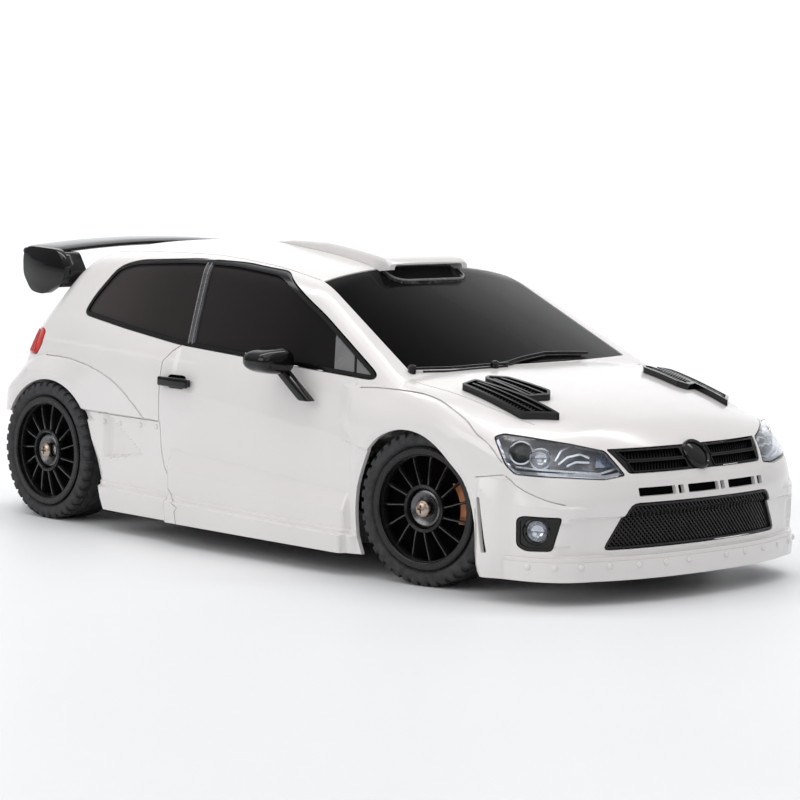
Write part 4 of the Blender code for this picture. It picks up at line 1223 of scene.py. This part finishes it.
def scoop():
    """A low hump that starts flush in the roof and ends in a lid over the windscreen."""
    rings = []
    for x in np.concatenate([np.linspace(-21.8, 22, 34), [23.2, 24.2, 24.9, 25.4, 25.7]]):
        top = float(fair(x, [(-22, 73.15), (-10, 74.05), (0, 74.0), (12, 72.9), (22, 71.45), (25.7, 70.7)]))
        top = top - 0.9 * max(0.0, (x - 23.2) / 2.5) ** 2.5
        half = float(fair(x, [(-22, 8.5), (-8, 11.2), (8, 12.3), (25.7, 12.95)]))
        floor = float(top_height(min(x, 21.5), 0.0)) - 0.5 + max(0.0, x - 21.5) * 0.12
        upper = []
        for t in np.linspace(-1, 1, 25):
            y = half * math.sin(t * math.pi / 2)
            drop = 0.55 * abs(t) ** 2.4 + (top - floor) * max(0.0, abs(t) - 0.86) / 0.14 * 0.25
            upper.append((x, y, max(top - drop, floor + 0.1)))
        rings.append(upper + [(x, half * part, floor) for part in (1, 0.5, 0, -0.5, -1)])
    lid = loft(rings)
    mouth = block((16, 22.6, 3.0), (21.6, 0, 67.85), 0.8)
    lid = cut(lid, mouth, solver="EXACT")
    lid = cut(lid, sheet(-4, 0.04, (-30, -16, 60), (30, 16, 80)), solver="EXACT")
    trim("scoop_lid", lid, "shell", "white", "roof_scoop", angle=40)
    # A near-black sheet in the scoop's mouth paints the shade inside it
    inside = layer(0.05, 0.5, [[(12, -11.2), (21.4, -11.2), (21.4, 11.2), (12, 11.2)]], *OVER_CABIN)
    trim("scoop_floor", inside, "black_plastic", "painted_shade")


def rear_wing():
    section = [(-90.5, -0.95), (-90.35, -0.45), (-89.8, -0.1), (-88, 0), (-84, 0), (-80.5, -0.1),
               (-78.2, -0.35), (-77.2, -0.8), (-77.0, -1.2), (-77.4, -1.6), (-78.6, -1.85), (-84, -1.9),
               (-88.8, -1.85), (-90.2, -1.55)]
    rings = []
    for y in np.linspace(-36.6, 36.6, 49):
        droop = 0.35 * max(0.0, (abs(y) - 33.5) / 3.0) ** 2
        rings.append([(x, y, 71.2 - 0.00153 * y * y - droop + z) for x, z in section])
    blade = loft(rings)
    end = rounded([(-85, 57.6), (-79.5, 57), (-70.5, 61.5), (-71, 66), (-74, 69), (-86, 69.4),
                   (-88.5, 67.5), (-88.5, 62)], 1.8, 5)
    foot = rounded([(-85, 59), (-74, 59), (-70, 63), (-73.5, 68.2), (-83, 68.2)], 1.0)
    parts = []
    for side in (-1, 1):
        parts.append(plate([end], *beside(side, 35.9, 38.1), 0.55))
        parts.append(plate([foot], *beside(side, 31, 36.2), 0.4))
    wing = union(blade, *parts, solver="EXACT")
    seat = sheet(-4, 0.06, (-112, -45, 40), (-50, 45, 80))
    trim("wing_body", cut(wing, seat, solver="EXACT"), "gloss_black", "gloss", "rear_wing", angle=38)


def door_mirror(name, side):
    """A rounded aerodynamic head on a thin raked stem."""
    rings = []
    for t in np.linspace(-0.8, 0.985, 28):
        x = 25.3 + 5.3 * t
        grow = (1 - abs(t) ** 3.6) ** (1 / 2.4)
        tall, wide = 3.05 * grow, 5.2 * grow ** 0.8
        ring = []
        for a in np.linspace(0, 2 * math.pi, 40, endpoint=False):
            c, s = math.cos(a), math.sin(a)
            y = wide * math.copysign(abs(c) ** 0.72, c)
            z = tall * math.copysign(abs(s) ** 0.8, s) * (1 - 0.16 * (y / 5.2) * side)
            ring.append((x - (1 - grow), side * MIRROR_OUT + y, MIRROR_HEIGHT + z))
        rings.append(ring)
    head = loft(rings)
    rake = rounded([(36.8, 39.2), (32.9, 39.2), (23.6, 46), (27.4, 46)], 0.6, 3)
    stem = plate([rake], *beside(side, 45.9, 47.9), 0.45)
    stem = cut(stem, sheet(-4, 0.04, (15, -60, 30), (45, 60, 60)), solver="EXACT")
    trim("mirror_head_" + name, head, "gloss_black", "gloss", "mirror_" + name, angle=50)
    trim("mirror_stem_" + name, stem, "gloss_black", "gloss")
    glass = block((0.5, 6.8, 3.4), (20.7, side * MIRROR_OUT, MIRROR_HEIGHT), 0.24)
    trim("mirror_glass_" + name, glass, "glass", "chrome")


def door_handle(name, side):
    grip = block((11.3, 1.0, 2.3), (-14.8, side * 46.85, HANDLE_HEIGHT), 0.48, 4)
    foot = block((2.0, 1.6, 1.8), (-19.2, side * 46.2, HANDLE_HEIGHT), 0.3)
    other = moved(foot, Matrix.Translation((8.6, 0, 0)))
    trim("handle_grip_" + name, union(grip, foot, other, solver="EXACT"), "gloss_black", "gloss",
         "door_handle_" + name)
    # A near-black patch round the grip paints the shade of the handle's recess
    cup = layer(-0.02, 0.1, [rounded([(-18.2, 38), (-11.8, 38), (-11.8, 41.3), (-18.2, 41.3)], 1.2)],
                *beside(side, 30, 60))
    trim("handle_cup_" + name, cup, "gloss_black", "painted_shade", form=True)


# Wheels: made round the Y axis with the outside at +Y, then put in place

def tyre_mesh():
    """A low tyre with rounded sidewalls and square lugs along both shoulders."""
    half, outer = TYRE_HALF, TYRE_RADIUS
    section = [(14.3, 5.75, 0), (14.6, 6.25, 0), (15.1, half, 0), (15.9, half, 0),
               (16.45, half - 0.02, 0.25), (16.8, half - 0.08, 0.5), (17.15, half - 0.2, 1),
               (17.45, half - 0.5, 1), (outer, half - 0.95, 1), (outer, half - 1.9, 1),
               (outer, half - 2.1, 0), (outer - 0.45, half - 2.2, 0), (outer - 0.45, half - 2.7, 0),
               (outer, half - 2.8, 0.0), (outer, 1.6, 0), (outer - 0.5, 1.5, 0), (outer - 0.5, 0.9, 0),
               (outer, 0.8, 0)]
    profile = section + [(r, -y, w) for r, y, w in reversed(section)]
    profile += [(13.3, -5.0, 0), (13.3, 5.0, 0)]
    lugs = 40
    phases = [(0, 0), (0.2, 0), (0.4, 0), (0.58, 0), (0.61, 1), (0.8, 1), (0.97, 1)]
    shape = bmesh.new()
    rings = []
    for r, y, weight in profile:
        ring = []
        for lug in range(lugs):
            for at, deep in phases:
                angle = 2 * math.pi * (lug + at) / lugs
                radius = r - 0.42 * weight * deep
                along = y - math.copysign(0.3, y) * weight * deep
                ring.append(shape.verts.new((radius * math.cos(angle), along, radius * math.sin(angle))))
        rings.append(ring)
    bridge(shape, rings + rings[:1])
    face_out(shape)
    return finished(shape)


def spoke(angle):
    """A slim bar from the hub ring to the rim that leans a little on its way out."""
    rings = []
    for t in np.linspace(0, 1, 9):
        radius = 4.9 + 7.6 * t
        turn = angle + math.radians(5.5) * math.sin(t * math.pi * 0.55)
        out = 5.55 - 0.75 * t * t
        wide = 0.36 - 0.08 * math.sin(t * math.pi) + 0.12 * t ** 6
        ring = []
        for a, b in ((-1, -1), (-1, -0.15), (-0.45, 0.12), (0.45, 0.12), (1, -0.15), (1, -1)):
            along = Vector((math.cos(turn), 0, math.sin(turn))) * radius
            across = Vector((-math.sin(turn), 0, math.cos(turn))) * wide * a
            ring.append(along + across + Vector((0, out + b, 0)))
        rings.append(ring)
    return loft(rings)


def rim_mesh(bore):
    barrel = lathe([(12.2, 6.35), (12.45, 6.6), (13.6, 6.6), (13.95, 6.3), (13.95, 5.8), (13.0, 5.4),
                    (13.0, -5.4), (13.95, -5.8), (13.95, -6.4), (12.2, -6.4)], segments=96)
    ring = lathe([(11.75, 5.0), (11.95, 5.35), (12.45, 5.35), (12.45, 3.9), (11.75, 3.9)], segments=96)
    hub = lathe([(bore, -1.2), (bore, 4.3), (2.1, 4.3), (3.6, 4.75), (4.35, 4.75), (4.65, 6.0), (5.0, 6.2),
                 (5.4, 6.0), (5.55, 5.4), (5.3, 4.2), (3.2, 3.6), (3.2, -1.2)], segments=72)
    spokes = [spoke(2 * math.pi * i / SPOKES + 0.12) for i in range(SPOKES)]
    return union(barrel, ring, hub), join(*spokes)


def screw_mesh():
    head = lathe([(0, 5.9), (1.55, 5.9), (1.88, 6.15), (1.88, 6.45), (1.5, 6.85), (0.8, 7.05), (0, 7.1)],
                 segments=40)
    cross = [block((0.42, 1.6, 1.9), (0, 7.0, 0)), block((1.9, 1.6, 0.42), (0, 7.0, 0))]
    return cut(head, *cross, solver="EXACT")


def cup_mesh():
    return lathe([(1.95, 4.5), (2.5, 4.85), (3.3, 5.35), (3.75, 5.5), (4.1, 5.35), (4.3, 4.85), (4.2, 4.4),
                  (1.95, 4.2)], segments=72)


def wheels():
    tyre = tyre_mesh()
    screw = screw_mesh()
    cup = cup_mesh()
    # A near-black disc behind the spokes paints the shade inside the wheel
    back = lathe([(3.4, 2.2), (12.0, 2.2), (12.0, 2.6), (3.4, 2.6)], segments=64)
    pad = within(lathe([(8.4, 2.8), (11.5, 2.8), (11.5, 3.2), (8.4, 3.2)], segments=72),
                 block((9, 4, 9), (10.6, 3, 1.5)))
    for end, bore in (("front", 1.3), ("rear", 1.8)):
        rim, spokes = rim_mesh(bore)
        for name, side in SIDES.items():
            out = Matrix.Diagonal((1, side, 1, 1))
            if end == "front":
                pivot = Matrix.Translation((FRONT_AXLE, side * KINGPIN, AXLE_HEIGHT))
                place = pivot @ STEERED @ Matrix.Translation((0, side * FRONT_OFFSET, 0))
                body, held = "front_wheel_" + name, "knuckle_" + name
            else:
                place = Matrix.Translation((REAR_AXLE, side * REAR_OFFSET, AXLE_HEIGHT))
                body = held = "rear_axle"
            label = end + "_{}_" + name
            if end == "front":
                piece("copper_pad_" + name, moved(pad, place @ out), held, "brass", "copper")
            here = place @ out
            piece(label.format("tyre_ring"), moved(tyre, here), body, "tyre", "rubber",
                  [label.format("tyre")], angle=35)
            piece(label.format("rim_barrel"), moved(rim, here), body, "rim", "rim", [label.format("rim")],
                  angle=35)
            piece(label.format("spokes"), moved(spokes, here), body, "rim", "spoke", angle=40)
            piece(label.format("hub_cup"), moved(cup, here), body, "rim", "cup", angle=40)
            piece(label.format("rim_backing"), moved(back, here), body, "rim", "painted_shade")
            piece(label.format("screw_head"), moved(screw, here), held, "steel", "screw",
                  [label.format("wheel_screw")])


def build():
    windscreen()
    rear_glass()
    for name, side in SIDES.items():
        side_windows(name, side)
        headlight(name, side)
        tail_light(name, side)
        fog_lamp(name, side)
        hood_vent(name, side)
        door_mirror(name, side)
        door_handle(name, side)
    upper_grille()
    slot_back()
    lower_grille()
    front_lip()
    side_rivets()
    scoop()
    rear_wing()
    wheels()


build()


# The chassis keeps its CAD shapes and gets its own materials

CARRIED = {"satin": ["chassis_tub", "suspension_plate", "steering_servo", "servo_horn", "steering_link",
                     "power_switch", "front_body_mount", "rear_body_mount", "rear_pod"],
           "foam": ["foam_bumper"], "steel": ["kingpin_left", "kingpin_right", "kingpin_spring_left",
                                              "kingpin_spring_right", "motor", "rear_axle"],
           "aluminium": ["knuckle_left", "knuckle_right"], "brass": ["kingpin_bush_left",
                                                                     "kingpin_bush_right", "motor_pinion"],
           "wrap": ["battery_pack"], "board": ["control_board"], "fibre": ["t_plate", "spur_gear"]}


def dress_chassis():
    for look, names in CARRIED.items():
        for name in names:
            for slot in bpy.data.objects[name].material_slots:
                slot.link = "OBJECT"
                slot.material = LOOKS[look]


dress_chassis()


# Stage, lights and camera; their places are in metres, and the camera's offsets in millimetres

def studio():
    shape = bmesh.new()
    back, rows = [], [(-1.6, 0.0), (1.2, 0.0)]
    for a in np.linspace(0, math.pi / 2, 13)[1:]:
        rows.append((1.2 + 0.8 * math.sin(a), 0.8 - 0.8 * math.cos(a)))
    rows.append((2.0, 3.0))
    for distance, height in rows:
        back.append([shape.verts.new((x, distance, height)) for x in (-3, 3)])
    for first, second in zip(back, back[1:]):
        shape.faces.new((first[0], first[1], second[1], second[0]))
    for face in shape.faces:
        face.smooth = True
    floor = shown("floor", finished(shape))
    floor.rotation_euler = (0, 0, math.radians(46.9))
    look = Look("studio_floor", roughness=0.5)
    look.colour(300, [(0.3, (0.8, 0.81, 0.82)), (0.7, (0.83, 0.835, 0.845))]).rough(200, 0.4, 0.6)
    floor.data.materials.append(look.material)

    world = bpy.data.worlds.new("studio")
    bpy.context.scene.world = world
    world.use_nodes = True
    tree = world.node_tree
    sky = tree.nodes["Background"]
    way = tree.nodes.new("ShaderNodeTexCoord")
    apart = tree.nodes.new("ShaderNodeSeparateXYZ")
    ramp = tree.nodes.new("ShaderNodeValToRGB")
    ramp.color_ramp.elements[0].position = 0.0
    ramp.color_ramp.elements[0].color = (0.28, 0.29, 0.31, 1)
    ramp.color_ramp.elements[1].position = 0.85
    ramp.color_ramp.elements[1].color = (1, 1, 1, 1)
    tree.links.new(way.outputs["Generated"], apart.inputs["Vector"])
    tree.links.new(apart.outputs["Z"], ramp.inputs["Fac"])
    tree.links.new(ramp.outputs["Color"], sky.inputs["Color"])
    sky.inputs["Strength"].default_value = 0.66


def area_light(name, power, size, where, target=(0, 0, 0.03)):
    data = bpy.data.lights.new(name, "AREA")
    data.shape = "RECTANGLE"
    data.size, data.size_y = size
    data.energy = power
    made = shown(name, data)
    made.location = where
    made.rotation_euler = (Vector(target) - Vector(where)).to_track_quat("-Z", "Y").to_euler()


def camera():
    azimuth, elevation, roll = (math.radians(v) for v in (46.9179, 5.6128, 1.0057))
    distance, aside, above = 767.129, 11.710, 33.804
    sensor, width, focal = 36, 800, 3049.246
    back = Vector((math.sin(azimuth) * math.cos(elevation), -math.cos(azimuth) * math.cos(elevation),
                   math.sin(elevation)))
    right = Vector((math.cos(azimuth), math.sin(azimuth), 0))
    up = back.cross(right)
    across = right * math.cos(roll) + up * math.sin(roll)
    tall = up * math.cos(roll) - right * math.sin(roll)
    data = bpy.data.cameras.new("camera")
    data.lens = focal / width * sensor
    data.sensor_width = sensor
    data.clip_start = 0.01
    made = shown("camera", data)
    place = TO_WORLD @ (back * distance + across * aside + tall * above)
    made.matrix_world = Matrix.Translation(place) @ Matrix((across, tall, back)).transposed().to_4x4()
    bpy.context.scene.camera = made


studio()
area_light("overhead", 4.2, (1.2, 1.2), (0.1, -0.1, 1.1))
area_light("front_fill", 1.0, (0.9, 0.6), (0.9, -0.5, 0.5))
area_light("side_fill", 3.2, (0.9, 0.6), (-0.3, -1.1, 0.55))
area_light("backdrop", 30, (2.4, 0.8), (-0.55, 0.5, 1.6), (-1.4, 1.3, 0.5))
camera()
bpy.context.scene.view_settings.view_transform = "Standard"
